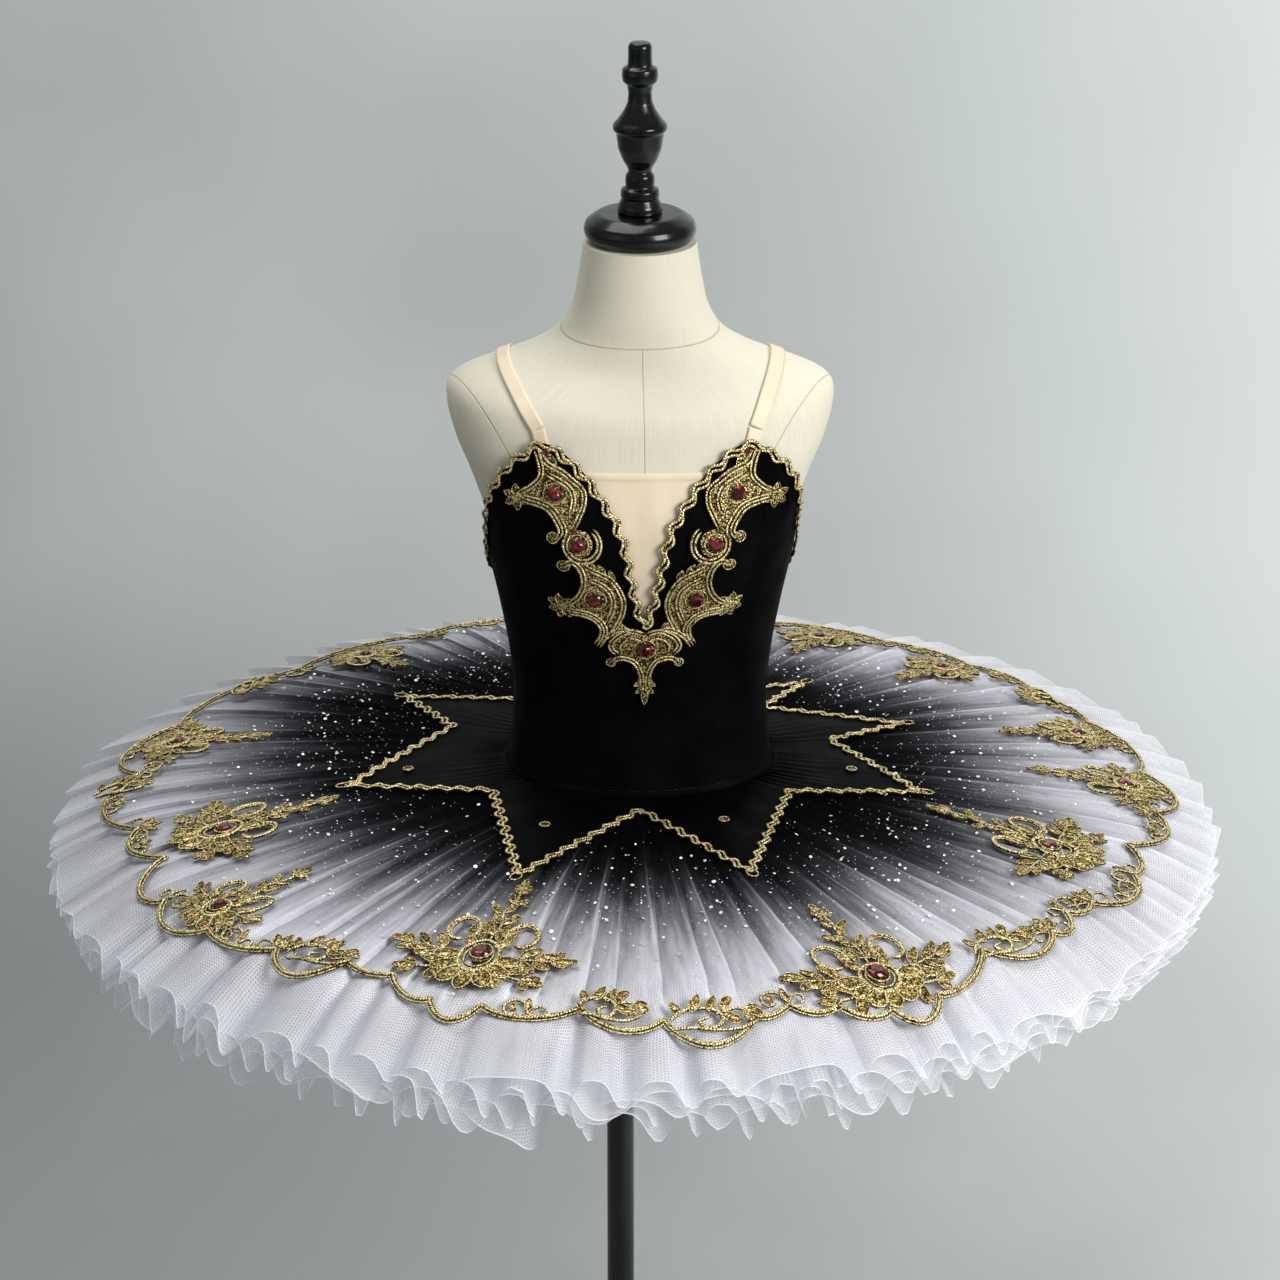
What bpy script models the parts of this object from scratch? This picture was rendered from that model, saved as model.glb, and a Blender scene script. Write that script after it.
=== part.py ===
"""A classical pancake tutu on a limbless dress form, built piece by piece.

Metres, +Z up. The floor is at height 0, the stand's pole rises on the Z axis and the front of the
garment faces -Y. An azimuth runs round the form: 0 at the centre front, +90 on the +X side and
180 at the centre back, where the bodice closes.
"""
import math
from collections import namedtuple

import bmesh
import bpy
import numpy as np
from mathutils import Matrix, Vector
from mathutils.geometry import delaunay_2d_cdt

# ---- Driving dimensions -------------------------------------------------------------------------
SEAM_GAP = 0.0003              # the gap kept between pieces that touch
FORM_X = 0.018                 # the form stands a little to the +X side of its pole
POLE_RADIUS = 0.0125
BASE_RADIUS = 0.175
BASE_THICKNESS = 0.014
BASE_EDGE = 0.003              # the bevel round the base's top
FORM_BOTTOM = 0.760
NECK_TOP = 1.4177
CAP_TOP = 1.4434

CLOTH = 0.0015                 # bodice velvet with its backing
THIN_CLOTH = 0.0011            # beige insert and straps
NET = 0.0010                   # one pleated net layer
TRIM = 0.0020                  # braid and raised gold pieces

LAID_GAP = 0.0008              # under a piece laid over curved cloth
INSERT_OUT = LAID_GAP          # how far each layer's inside lies from the form
BODICE_OUT = INSERT_OUT + THIN_CLOTH + LAID_GAP + SEAM_GAP
TRIM_OUT = BODICE_OUT + CLOTH + LAID_GAP

SEAM_HEIGHT = 0.943            # the basque seam, where bodice, star and net meet
YOKE_HEM = 0.862
CENTRE_BACK_GAP = 0.25         # degrees left open at the hooked centre back
PANEL_GAP = 0.00042            # between panels at their middle thickness

PLATE_RADIUS = 0.522
RIM_SHIFT = 0.006              # the rim reaches this much further on the -X side than the +X side
TOP_PLEATS = 56
UNDER_PLEATS = 36
PLEAT_DEPTH = 0.0038           # from the mean surface to a pleat's crest, at the rim
UNDER_DEPTH = 0.0023
UNDER_LAYERS = 4
TOP_SHARES = [0, 0.34, 0.6, 0.76, 0.86, 0.94, 1]    # rings of a layer, as shares of its length
UNDER_SHARES = [0, 0.84, 1]
SEWN_RADIUS = 0.125            # where the layers' heights at the yoke are read
SEWN_CLEAR = 0.0011
YOKE_STEP = 0.0105             # between the rows of net sewn on the yoke
RIM_STEP = 0.0096              # between the layers at the rim

STONE_RADIUS = 0.0075
STONE_HEIGHT = 0.0042

# ---- The form: one row a section, from the hips up ----------------------------------------------
Section = namedtuple("Section", "height half_width front_depth back_depth")
FORM_SECTIONS = [
    Section(0.760, 0.112, 0.080, 0.092),
    Section(0.790, 0.127, 0.088, 0.106),
    Section(0.830, 0.134, 0.092, 0.112),
    Section(0.870, 0.131, 0.093, 0.108),
    Section(0.910, 0.121, 0.092, 0.098),
    Section(0.940, 0.1135, 0.0900, 0.0900),
    Section(0.975, 0.1100, 0.0860, 0.0830),
    Section(1.005, 0.1085, 0.0840, 0.0800),
    Section(1.050, 0.1125, 0.0880, 0.0815),
    Section(1.095, 0.1205, 0.0960, 0.0870),
    Section(1.145, 0.1310, 0.1040, 0.0940),
    Section(1.180, 0.1365, 0.1060, 0.0980),
    Section(1.215, 0.1480, 0.1020, 0.1000),
    Section(1.250, 0.1620, 0.0940, 0.0990),
    Section(1.285, 0.1690, 0.0820, 0.0910),
    Section(1.298, 0.1640, 0.0680, 0.0770),
    Section(1.309, 0.1420, 0.0560, 0.0640),
    Section(1.321, 0.1060, 0.0510, 0.0590),
    Section(1.336, 0.0770, 0.0510, 0.0570),
    Section(1.357, 0.0610, 0.0530, 0.0560),
    Section(1.385, 0.0540, 0.0515, 0.0530),
    Section(1.4177, 0.0488, 0.0488, 0.0488),
]
FORM_SEGMENTS = 30
CHEST_SQUARE = 0.35            # how much squarer than an ellipse the chest's section is
CHEST_HEIGHT = 1.22
CHEST_HALF_HEIGHT = 0.09
BUST_OUT = 0.006
BUST_AZIMUTH = 36.0
BUST_HALF_ARC = 22.0
BUST_HEIGHT = 1.165
BUST_HALF_HEIGHT = 0.043

# ---- Turned wood on the neck, from its top down -------------------------------------------------
TurnedPoint = namedtuple("TurnedPoint", "radius height")
CAP_PROFILE = [
    TurnedPoint(0, CAP_TOP),
    TurnedPoint(0.0362, CAP_TOP),
    TurnedPoint(0.0410, 1.4405),
    TurnedPoint(0.0470, 1.4360),
    TurnedPoint(0.0489, 1.4300),
    TurnedPoint(0.0478, 1.4240),
    TurnedPoint(0.0440, 1.4195),
    TurnedPoint(0.0420, NECK_TOP + SEAM_GAP),
    TurnedPoint(0, NECK_TOP + SEAM_GAP),
]
FINIAL_PROFILE = [
    TurnedPoint(0, 1.5925),
    TurnedPoint(0.0080, 1.5920),
    TurnedPoint(0.0102, 1.5890),
    TurnedPoint(0.0102, 1.5722),
    TurnedPoint(0.0153, 1.5690),
    TurnedPoint(0.0153, 1.5600),
    TurnedPoint(0.0105, 1.5550),
    TurnedPoint(0.0102, 1.5410),
    TurnedPoint(0.0140, 1.5330),
    TurnedPoint(0.0228, 1.5215),
    TurnedPoint(0.0232, 1.5170),
    TurnedPoint(0.0206, 1.5140),
    TurnedPoint(0.0190, 1.5020),
    TurnedPoint(0.0140, 1.4870),
    TurnedPoint(0.0100, 1.4797),
    TurnedPoint(0.0124, 1.4770),
    TurnedPoint(0.0124, 1.4660),
    TurnedPoint(0.0165, 1.4630),
    TurnedPoint(0.0186, 1.4540),
    TurnedPoint(0.0195, CAP_TOP + SEAM_GAP),
    TurnedPoint(0, CAP_TOP + SEAM_GAP),
]

# ---- The bodice's top edge: deep V, strap peaks, underarm, back ---------------------------------
BODICE_TURN = 2.5              # degrees that the bodice is turned on the form
EdgePoint = namedtuple("EdgePoint", "azimuth height")
NECKLINE = [
    EdgePoint(0, 1.103),
    EdgePoint(3.5, 1.121),
    EdgePoint(6, 1.142),
    EdgePoint(8, 1.163),
    EdgePoint(10, 1.181),
    EdgePoint(14, 1.200),
    EdgePoint(18.5, 1.2135),
    EdgePoint(25, 1.230),
    EdgePoint(31, 1.242),
    EdgePoint(37, 1.2515),
    EdgePoint(43, 1.2595),
    EdgePoint(48.5, 1.262),
    EdgePoint(52.5, 1.2545),
    EdgePoint(58, 1.2425),
    EdgePoint(65, 1.217),
    EdgePoint(73, 1.186),
    EdgePoint(82, 1.150),
    EdgePoint(92, 1.128),
    EdgePoint(110, 1.117),
    EdgePoint(145, 1.108),
    EdgePoint(180, 1.104),
]
# A panel's columns stand evenly at crowding 1 and closer together at its middle above 1
Panel = namedtuple("Panel", "name bottom_from bottom_to top_from top_to columns crowding")
PANELS = [
    Panel("bodice_front", -41, 41, -51, 51, 24, 1.3),
    Panel("bodice_side_front_right", 41, 88, 51, 92, 6, 1),
    Panel("bodice_side_front_left", -88, -41, -92, -51, 6, 1),
    Panel("bodice_side_back_right", 88, 138, 92, 140, 5, 1),
    Panel("bodice_side_back_left", -138, -88, -140, -92, 5, 1),
    Panel("bodice_back_right", 138, 180, 140, 180, 4, 1),
    Panel("bodice_back_left", -180, -138, -180, -140, 4, 1),
]
BODICE_SHARES = [0, 0.12, 0.24, 0.35, 0.45, 0.54, 0.62, 0.69, 0.76, 0.83, 0.89, 0.95, 1]
INSERT_TOP = 1.239
INSERT_MARGIN = 0.008          # how far the insert runs under the neckline

# ---- Straps -------------------------------------------------------------------------------------
STRAP_WIDTH = 0.0125
STRAP_TAB = 0.011              # the short tab between the bodice and the strap's join
STRAP_TUCK = 0.008             # how far the tab runs inside the bodice
STRAP_FRONT_AZIMUTH = 48.5
STRAP_BACK_AZIMUTH = 140.0
STRAP_SHOULDER_X = 0.119
STRAP_LEAN = 0.0025            # how far a strap has moved sideways at its join
STRAP_BACK_CLEAR = 0.0035
STRAP_JOIN = 0.0020            # between a strap and its tab
STRAP_CLEAR = 0.0010           # between a strap and the form

# ---- The plate of net: height of its mean surface against radius --------------------------------
PlateRow = namedtuple("PlateRow", "radius height")
PLATE_ROWS = [
    PlateRow(0.090, 0.9375),
    PlateRow(0.150, 0.9335),
    PlateRow(0.260, 0.9250),
    PlateRow(0.380, 0.9110),
    PlateRow(0.460, 0.8975),
    PlateRow(0.495, 0.8850),
    PlateRow(0.530, 0.8690),
]
FRONT_DROOP = 0.013            # the rim hangs lower at the front and higher at the back
BACK_RISE = 0.012
TILT_START = 0.440

# ---- The star overlay: one row a corner, tips and valleys in turn -------------------------------
StarCorner = namedtuple("StarCorner", "azimuth radius")
STAR_CORNERS = [
    StarCorner(-174, 0.262),
    StarCorner(-151, 0.165),
    StarCorner(-128.5, 0.280),
    StarCorner(-116, 0.190),
    StarCorner(-80, 0.263),
    StarCorner(-60, 0.150),
    StarCorner(-23, 0.265),
    StarCorner(0, 0.124),
    StarCorner(21.5, 0.256),
    StarCorner(60, 0.152),
    StarCorner(76, 0.256),
    StarCorner(106, 0.178),
    StarCorner(113, 0.262),
    StarCorner(139, 0.170),
    StarCorner(143, 0.256),
    StarCorner(166, 0.160),
]
STAR_STEPS = 4                 # steps from one corner to the next
BRAID_WIDTH = 0.0070

# ---- The gold border: one row a motif -----------------------------------------------------------
Motif = namedtuple("Motif", "name azimuth radius width inward outward")
MOTIFS = [
    Motif("border_motif_01", -170, 0.430, 44, 66, 24),
    Motif("border_motif_02", -142.5, 0.430, 38, 55, 20),
    Motif("border_motif_03", -104.5, 0.446, 44, 66, 24),
    Motif("border_motif_04", -76.5, 0.381, 58, 104, 62),
    Motif("border_motif_05", -53, 0.441, 48, 66, 26),
    Motif("border_motif_06", -20.5, 0.373, 64, 100, 58),
    Motif("border_motif_07", 26.5, 0.448, 62, 105, 28),
    Motif("border_motif_08", 70, 0.387, 58, 104, 56),
    Motif("border_motif_09", 92, 0.441, 42, 62, 24),
    Motif("border_motif_10", 108, 0.426, 38, 55, 20),
    Motif("border_motif_11", 136, 0.420, 38, 55, 20),
    Motif("border_motif_12", 154.5, 0.426, 40, 60, 22),
]
Filler = namedtuple("Filler", "name azimuth radius length turn")
FILLERS = [
    Filler("border_scroll_1", -132, 0.450, 0.050, 8),
    Filler("border_scroll_2", -89, 0.470, 0.044, 80),
    Filler("border_scroll_3", -43, 0.452, 0.060, 14),
    Filler("border_leaf_front", -6, 0.446, 0.052, -14),
    Filler("border_scroll_4", 8, 0.496, 0.060, 0),
    Filler("border_scroll_5", 49, 0.456, 0.060, -14),
    Filler("border_scroll_6", 120, 0.452, 0.050, -8),
]
# The border cord: one row a scallop, from the cusp where it starts to its crown
Scallop = namedtuple("Scallop", "azimuth cusp crown")
SCALLOPS = [
    Scallop(-180, 0.446, 0.472),
    Scallop(-160, 0.446, 0.467),
    Scallop(-150, 0.448, 0.466),
    Scallop(-132, 0.450, 0.478),
    Scallop(-114, 0.462, 0.484),
    Scallop(-97, 0.462, 0.480),
    Scallop(-82, 0.455, 0.465),
    Scallop(-72, 0.453, 0.484),
    Scallop(-59, 0.466, 0.488),
    Scallop(-43, 0.454, 0.478),
    Scallop(-30, 0.437, 0.494),
    Scallop(-7, 0.446, 0.488),
    Scallop(2, 0.468, 0.506),
    Scallop(14, 0.456, 0.476),
    Scallop(19, 0.466, 0.512),
    Scallop(37, 0.446, 0.480),
    Scallop(49, 0.460, 0.468),
    Scallop(58, 0.454, 0.482),
    Scallop(71, 0.458, 0.474),
    Scallop(84, 0.452, 0.482),
    Scallop(98, 0.453, 0.464),
    Scallop(115, 0.443, 0.457),
    Scallop(126, 0.438, 0.457),
    Scallop(146, 0.443, 0.464),
    Scallop(163, 0.446, 0.468),
]
BORDER_CORD_WIDTH = 0.0045
BORDER_STEPS = 6               # steps a scallop
NET_CLEAR = SEAM_GAP + NET / 2
BORDER_CLEAR = LAID_GAP + SEAM_GAP / 2 + NET / 2

# ---- Outlines of the raised pieces, in millimetres from their stone -----------------------------
OutlinePoint = namedtuple("OutlinePoint", "across up")
UPPER_OUTLINE = [
    OutlinePoint(19, 31), OutlinePoint(13, 20), OutlinePoint(15, 9), OutlinePoint(22, -2),
    OutlinePoint(33, -4), OutlinePoint(38, -13), OutlinePoint(32, -22), OutlinePoint(21, -20),
    OutlinePoint(11, -12), OutlinePoint(4, -18), OutlinePoint(-2, -25), OutlinePoint(-11, -24),
    OutlinePoint(-14, -15), OutlinePoint(-23, -7), OutlinePoint(-24, 4), OutlinePoint(-15, 13),
    OutlinePoint(-5, 19), OutlinePoint(8, 23),
]
LOWER_OUTLINE = [
    OutlinePoint(17, 30), OutlinePoint(12, 22), OutlinePoint(15, 10), OutlinePoint(22, -4),
    OutlinePoint(34, -7), OutlinePoint(38, -16), OutlinePoint(31, -25), OutlinePoint(20, -23),
    OutlinePoint(11, -20), OutlinePoint(7, -32), OutlinePoint(3, -45), OutlinePoint(-4, -36),
    OutlinePoint(-12, -27), OutlinePoint(-18, -14), OutlinePoint(-20, 4), OutlinePoint(-12, 18),
    OutlinePoint(2, 27),
]
CENTRE_HALF_OUTLINE = [
    OutlinePoint(0, 13), OutlinePoint(9, 11), OutlinePoint(20, 8), OutlinePoint(31, 2),
    OutlinePoint(36, -10), OutlinePoint(30, -19), OutlinePoint(20, -16), OutlinePoint(12, -24),
    OutlinePoint(12, -38), OutlinePoint(6, -47), OutlinePoint(0, -56),
]
MOTIF_HALF_OUTLINE = [         # in hundredths of the motif's half width, inward and outward reach
    OutlinePoint(0, 100), OutlinePoint(17, 86), OutlinePoint(26, 64), OutlinePoint(18, 46),
    OutlinePoint(48, 38), OutlinePoint(66, 12), OutlinePoint(100, -10), OutlinePoint(88, -46),
    OutlinePoint(48, -86), OutlinePoint(0, -100),
]
BODICE_SPACING = 0.012         # between the inner points that let a raised piece bend
BORDER_SPACING = 0.022
Applique = namedtuple("Applique", "name azimuth height outline")


# ---- Shape functions ----------------------------------------------------------------------------
def smooth(xs, ys, x):
    """Read a curve through a table's points that never overshoots them."""
    xs = np.asarray(xs, float)
    ys = np.asarray(ys, float)
    x = min(max(x, xs[0]), xs[-1])
    slopes = np.diff(ys) / np.diff(xs)
    tangents = np.concatenate(([slopes[0]], (slopes[1:] + slopes[:-1]) / 2, [slopes[-1]]))
    turning = slopes[1:] * slopes[:-1] <= 0
    tangents[1:-1][turning] = 0
    i = min(int(np.searchsorted(xs, x, "right")) - 1, len(xs) - 2)
    width = xs[i + 1] - xs[i]
    t = (x - xs[i]) / width
    return ((2 * t ** 3 - 3 * t ** 2 + 1) * ys[i] + (t ** 3 - 2 * t ** 2 + t) * width * tangents[i]
            + (3 * t ** 2 - 2 * t ** 3) * ys[i + 1] + (t ** 3 - t ** 2) * width * tangents[i + 1])


def column(rows, name):
    return [getattr(row, name) for row in rows]


def form_radius(azimuth, height):
    """Distance from the form's axis to its surface."""
    heights = column(FORM_SECTIONS, "height")
    across = smooth(heights, column(FORM_SECTIONS, "half_width"), height)
    angle = math.radians(azimuth)
    side = "front_depth" if math.cos(angle) > 0 else "back_depth"
    deep = smooth(heights, column(FORM_SECTIONS, side), height)
    power = 2.0 + CHEST_SQUARE * math.exp(-((height - CHEST_HEIGHT) / CHEST_HALF_HEIGHT) ** 2)
    sine = abs(math.sin(angle)) / across
    cosine = abs(math.cos(angle)) / deep
    radius = (sine ** power + cosine ** power) ** (-1 / power)
    turn = (abs(azimuth) - BUST_AZIMUTH) / BUST_HALF_ARC
    rise = (height - BUST_HEIGHT) / BUST_HALF_HEIGHT
    return radius + BUST_OUT * math.exp(-turn ** 2 - rise ** 2)


def wrap(azimuth):
    return (azimuth + 180.0) % 360.0 - 180.0


def polar(azimuth, radius, height):
    angle = math.radians(azimuth)
    return Vector((FORM_X + radius * math.sin(angle), -radius * math.cos(angle), height))


def form_point(azimuth, height, out=0.0):
    """A point on the form, moved out along its normal."""
    azimuth = wrap(azimuth)
    point = polar(azimuth, form_radius(azimuth, height), height)
    if out == 0.0:
        return point
    return point + form_normal(azimuth, height) * out


def worn_point(azimuth, height, out=0.0):
    """A point on the form, by its azimuth on the bodice."""
    return form_point(azimuth + BODICE_TURN, height, out)


def form_normal(azimuth, height):
    turn = 0.5
    rise = 0.001
    along = form_point(azimuth + turn, height) - form_point(azimuth - turn, height)
    upward = form_point(azimuth, height + rise) - form_point(azimuth, height - rise)
    return along.cross(upward).normalized()


def neckline_height(azimuth):
    return smooth(column(NECKLINE, "azimuth"), column(NECKLINE, "height"), abs(wrap(azimuth)))


def smoothstep(low, high, value):
    t = min(max((value - low) / (high - low), 0.0), 1.0)
    return t * t * (3 - 2 * t)


def plate_height(azimuth, radius):
    """Height of the top net's mean surface."""
    flat = smooth(column(PLATE_ROWS, "radius"), column(PLATE_ROWS, "height"), radius)
    tilt = smoothstep(TILT_START, PLATE_RADIUS + 0.03, radius)
    turn = math.cos(math.radians(azimuth))
    return flat - (FRONT_DROOP if turn > 0 else BACK_RISE) * tilt * turn


def rim_radius(azimuth):
    return PLATE_RADIUS - RIM_SHIFT * math.sin(math.radians(azimuth))


def pleat_rise(radius):
    """How far a pleat's crest stands above the mean surface."""
    return PLEAT_DEPTH * smoothstep(0.150, 0.500, radius)


def plate_point(azimuth, radius, lift=0.0):
    """A point on the surface through the top net's pleat crests, or moved out from it."""
    crest = plate_height(azimuth, radius) + pleat_rise(radius)
    point = polar(azimuth, radius, crest)
    if lift == 0.0:
        return point
    return point + plate_normal(azimuth, radius) * lift


def plate_normal(azimuth, radius):
    turn = 0.5
    reach = 0.001
    along = plate_point(azimuth + turn, radius) - plate_point(azimuth - turn, radius)
    outward = plate_point(azimuth, radius + reach) - plate_point(azimuth, radius - reach)
    return outward.cross(along).normalized()


def border_route():
    """Azimuth and radius all round the scalloped cord."""
    places = []
    ends = SCALLOPS[1:] + [SCALLOPS[0]._replace(azimuth=180)]
    for start, end in zip(SCALLOPS, ends):
        for i in range(BORDER_STEPS):
            t = i / BORDER_STEPS
            level = start.cusp + (end.cusp - start.cusp) * t
            rise = start.crown - (start.cusp + end.cusp) / 2
            azimuth = start.azimuth + (end.azimuth - start.azimuth) * t
            places.append((azimuth, level + rise * math.sin(math.pi * t) ** 0.7))
    return places


# ---- Scene helpers ------------------------------------------------------------------------------
def clear_scene():
    for item in list(bpy.data.objects):
        bpy.data.objects.remove(item, do_unlink=True)


def make_material(name, color, roughness, metallic=0.0):
    material = bpy.data.materials.new(name)
    material.use_nodes = True
    shader = material.node_tree.nodes["Principled BSDF"]
    shader.inputs["Base Color"].default_value = (*color, 1.0)
    shader.inputs["Roughness"].default_value = roughness
    shader.inputs["Metallic"].default_value = metallic
    return material


def add_mesh(name, mesh_data, material, collection, smooth_angle=40):
    """Turn a bmesh into a named object with its material."""
    mesh = bpy.data.meshes.new(name)
    mesh_data.to_mesh(mesh)
    mesh_data.free()
    mesh.materials.append(material)
    mesh.shade_smooth()
    mesh.set_sharp_from_angle(angle=math.radians(smooth_angle))
    item = bpy.data.objects.new(name, mesh)
    collection.objects.link(item)
    return item


def add_grid(name, rows, closed, wall, material, collection):
    """Skin a grid of points and give it a wall, half to each side."""
    mesh_data = bmesh.new()
    lines = [[mesh_data.verts.new(point) for point in row] for row in rows]
    count = len(rows[0])
    last = count if closed else count - 1
    for lower, upper in zip(lines, lines[1:]):
        for i in range(last):
            j = (i + 1) % count
            mesh_data.faces.new((lower[i], lower[j], upper[j], upper[i]))
    item = add_mesh(name, mesh_data, material, collection)
    add_wall(item, wall)
    return item


def add_wall(item, wall):
    solidify = item.modifiers.new("Wall", "SOLIDIFY")
    solidify.thickness = wall
    solidify.offset = 0.0


def add_outline(name, outline, spacing, place, material, collection):
    """Cut a flat outline, give it inner points so that it can bend, and lay it with place()."""
    corners = [Vector((point.across / 1000, point.up / 1000)) for point in outline]
    edge = []
    for start, end in zip(corners, corners[1:] + corners[:1]):
        steps = math.ceil((end - start).length / spacing)
        edge += [start.lerp(end, i / steps) for i in range(steps)]
    low_x = min(point.x for point in edge)
    high_x = max(point.x for point in edge)
    low_y = min(point.y for point in edge)
    high_y = max(point.y for point in edge)
    inner = []
    across = int((high_x - low_x) / spacing)
    up = int((high_y - low_y) / spacing)
    for i in range(1, across + 1):
        for j in range(1, up + 1):
            point = Vector((low_x + i * spacing, low_y + j * spacing))
            if inside(point, edge) and edge_distance(point, edge) > spacing * 0.45:
                inner.append(point)
    cut = delaunay_2d_cdt(edge + inner, [], [list(range(len(edge)))], 1, 1e-7)
    mesh_data = bmesh.new()
    corners = [mesh_data.verts.new(place(point.x, point.y)) for point in cut[0]]
    for face in cut[2]:
        mesh_data.faces.new([corners[i] for i in face])
    bmesh.ops.recalc_face_normals(mesh_data, faces=mesh_data.faces)
    item = add_mesh(name, mesh_data, material, collection)
    add_wall(item, TRIM)
    return item


def inside(point, edge):
    """Even-odd test of a point in a closed outline."""
    crossings = 0
    for start, end in zip(edge, edge[1:] + edge[:1]):
        if (start.y > point.y) != (end.y > point.y):
            reach = start.x + (point.y - start.y) * (end.x - start.x) / (end.y - start.y)
            crossings += reach > point.x
    return crossings % 2 == 1


def edge_distance(point, edge):
    nearest = 1.0
    for start, end in zip(edge, edge[1:] + edge[:1]):
        run = end - start
        t = min(max((point - start).dot(run) / run.length_squared, 0.0), 1.0)
        nearest = min(nearest, (start + run * t - point).length)
    return nearest


def mirrored(half):
    """A whole outline from its +across half, listed from the top of the centre line down."""
    other = [OutlinePoint(-point.across, point.up) for point in reversed(half[1:-1])]
    return list(half) + other


def add_ribbon(name, middle, normals, closed, width, wall, material, collection):
    """A flat strip that follows a path, square to the normals given along it."""
    count = len(middle)
    left = []
    right = []
    for i, point in enumerate(middle):
        after = middle[(i + 1) % count] if closed or i + 1 < count else point
        before = middle[i - 1] if closed or i > 0 else point
        across = (after - before).cross(normals[i]).normalized() * width / 2
        left.append(point - across)
        right.append(point + across)
    return add_grid(name, [left, right], closed, wall, material, collection)


def add_turned(name, profile, axis_x, steps, material, collection):
    """Spin a profile, listed from its top down, round the vertical axis."""
    mesh_data = bmesh.new()
    points = [mesh_data.verts.new((radius, 0, height)) for radius, height in profile]
    for upper, lower in zip(points, points[1:]):
        mesh_data.edges.new((upper, lower))
    item = add_mesh(name, mesh_data, material, collection)
    item.location = (axis_x, 0, 0)
    screw = item.modifiers.new("Turned", "SCREW")
    screw.steps = steps
    screw.render_steps = steps
    screw.use_merge_vertices = True
    screw.merge_threshold = 0.00001
    return item


# ---- The stand and the form ---------------------------------------------------------------------
def build_stand(collection, black):
    base = [(0, BASE_THICKNESS), (BASE_RADIUS - BASE_EDGE, BASE_THICKNESS),
            (BASE_RADIUS, BASE_THICKNESS - BASE_EDGE), (BASE_RADIUS, 0), (0, 0)]
    add_turned("stand_base", base, 0, 40, black, collection)
    top = FORM_BOTTOM - SEAM_GAP
    foot = BASE_THICKNESS + SEAM_GAP
    pole = [(0, top), (POLE_RADIUS, top), (POLE_RADIUS, foot), (0, foot)]
    add_turned("stand_pole", pole, 0, 20, black, collection)


def build_form(collection, linen, black):
    """The linen torso is lofted through its sections; the neck cap and finial are turned wood."""
    mesh_data = bmesh.new()
    rings = []
    for section in FORM_SECTIONS:
        ring = [mesh_data.verts.new(form_point(360 * i / FORM_SEGMENTS, section.height))
                for i in range(FORM_SEGMENTS)]
        rings.append(ring)
    for lower, upper in zip(rings, rings[1:]):
        for i in range(FORM_SEGMENTS):
            j = (i + 1) % FORM_SEGMENTS
            mesh_data.faces.new((lower[i], lower[j], upper[j], upper[i]))
    mesh_data.faces.new(list(reversed(rings[0])))
    mesh_data.faces.new(rings[-1])
    add_mesh("form_torso", mesh_data, linen, collection)

    add_turned("form_neck_cap", CAP_PROFILE, FORM_X, 24, black, collection)
    add_turned("form_finial", FINIAL_PROFILE, FORM_X, 14, black, collection)


# ---- The bodice ---------------------------------------------------------------------------------
def bodice_place(bottom_azimuth, top_azimuth, share):
    """Azimuth and height of a point on a panel, from its bottom seam (0) to its top edge (1)."""
    azimuth = bottom_azimuth + (top_azimuth - bottom_azimuth) * smoothstep(0.15, 1.0, share)
    height = SEAM_HEIGHT + (neckline_height(top_azimuth) - SEAM_HEIGHT) * share
    return azimuth, height


def build_bodice(collection, velvet):
    middle = BODICE_OUT + CLOTH / 2
    trim = math.degrees(PANEL_GAP / 2 / form_radius(90, SEAM_HEIGHT))
    for panel in PANELS:
        inset_from = CENTRE_BACK_GAP if panel.bottom_from == -180 else trim
        inset_to = CENTRE_BACK_GAP if panel.bottom_to == 180 else trim
        rows = []
        for share in BODICE_SHARES:
            row = []
            for i in range(panel.columns + 1):
                turn = 2 * i / panel.columns - 1
                t = (1 + math.copysign(abs(turn) ** panel.crowding, turn)) / 2
                low = panel.bottom_from + inset_from
                low += (panel.bottom_to - inset_to - low) * t
                top = panel.top_from + inset_from
                top += (panel.top_to - inset_to - top) * t
                row.append(worn_point(*bodice_place(low, top, share), middle))
            rows.append(row)
        add_grid(panel.name, rows, False, CLOTH, velvet, collection)


def insert_half_azimuth(height):
    """The V's half width at a height, in degrees."""
    edge = [point for point in NECKLINE if point.azimuth <= STRAP_FRONT_AZIMUTH]
    return smooth(column(edge, "height"), column(edge, "azimuth"), height)


def build_insert(collection, beige):
    """The beige insert behind the V, a little wider than the V all round."""
    middle = INSERT_OUT + THIN_CLOTH / 2
    bottom = NECKLINE[0].height - INSERT_MARGIN
    rows = []
    for i in range(13):
        height = bottom + (INSERT_TOP - bottom) * i / 12
        half = insert_half_azimuth(height)
        half += math.degrees(INSERT_MARGIN / form_radius(half, height))
        rows.append([worn_point(half * (j / 6 - 1), height, middle) for j in range(13)])
    add_grid("modesty_panel", rows, False, THIN_CLOTH, beige, collection)


def strap_azimuth(height, reach, behind):
    """The azimuth at which the form's surface lies at a sideways reach."""
    low, high = (90.0, 180.0) if behind else (90.0, 0.0)
    for _ in range(40):
        middle = (low + high) / 2
        if form_radius(middle, height) * math.sin(math.radians(middle)) > reach:
            low = middle
        else:
            high = middle
    return (low + high) / 2


def shoulder_height(reach):
    low, high = 1.29, 1.36
    for _ in range(40):
        middle = (low + high) / 2
        if form_radius(90, middle) > reach:
            low = middle
        else:
            high = middle
    return low


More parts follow.
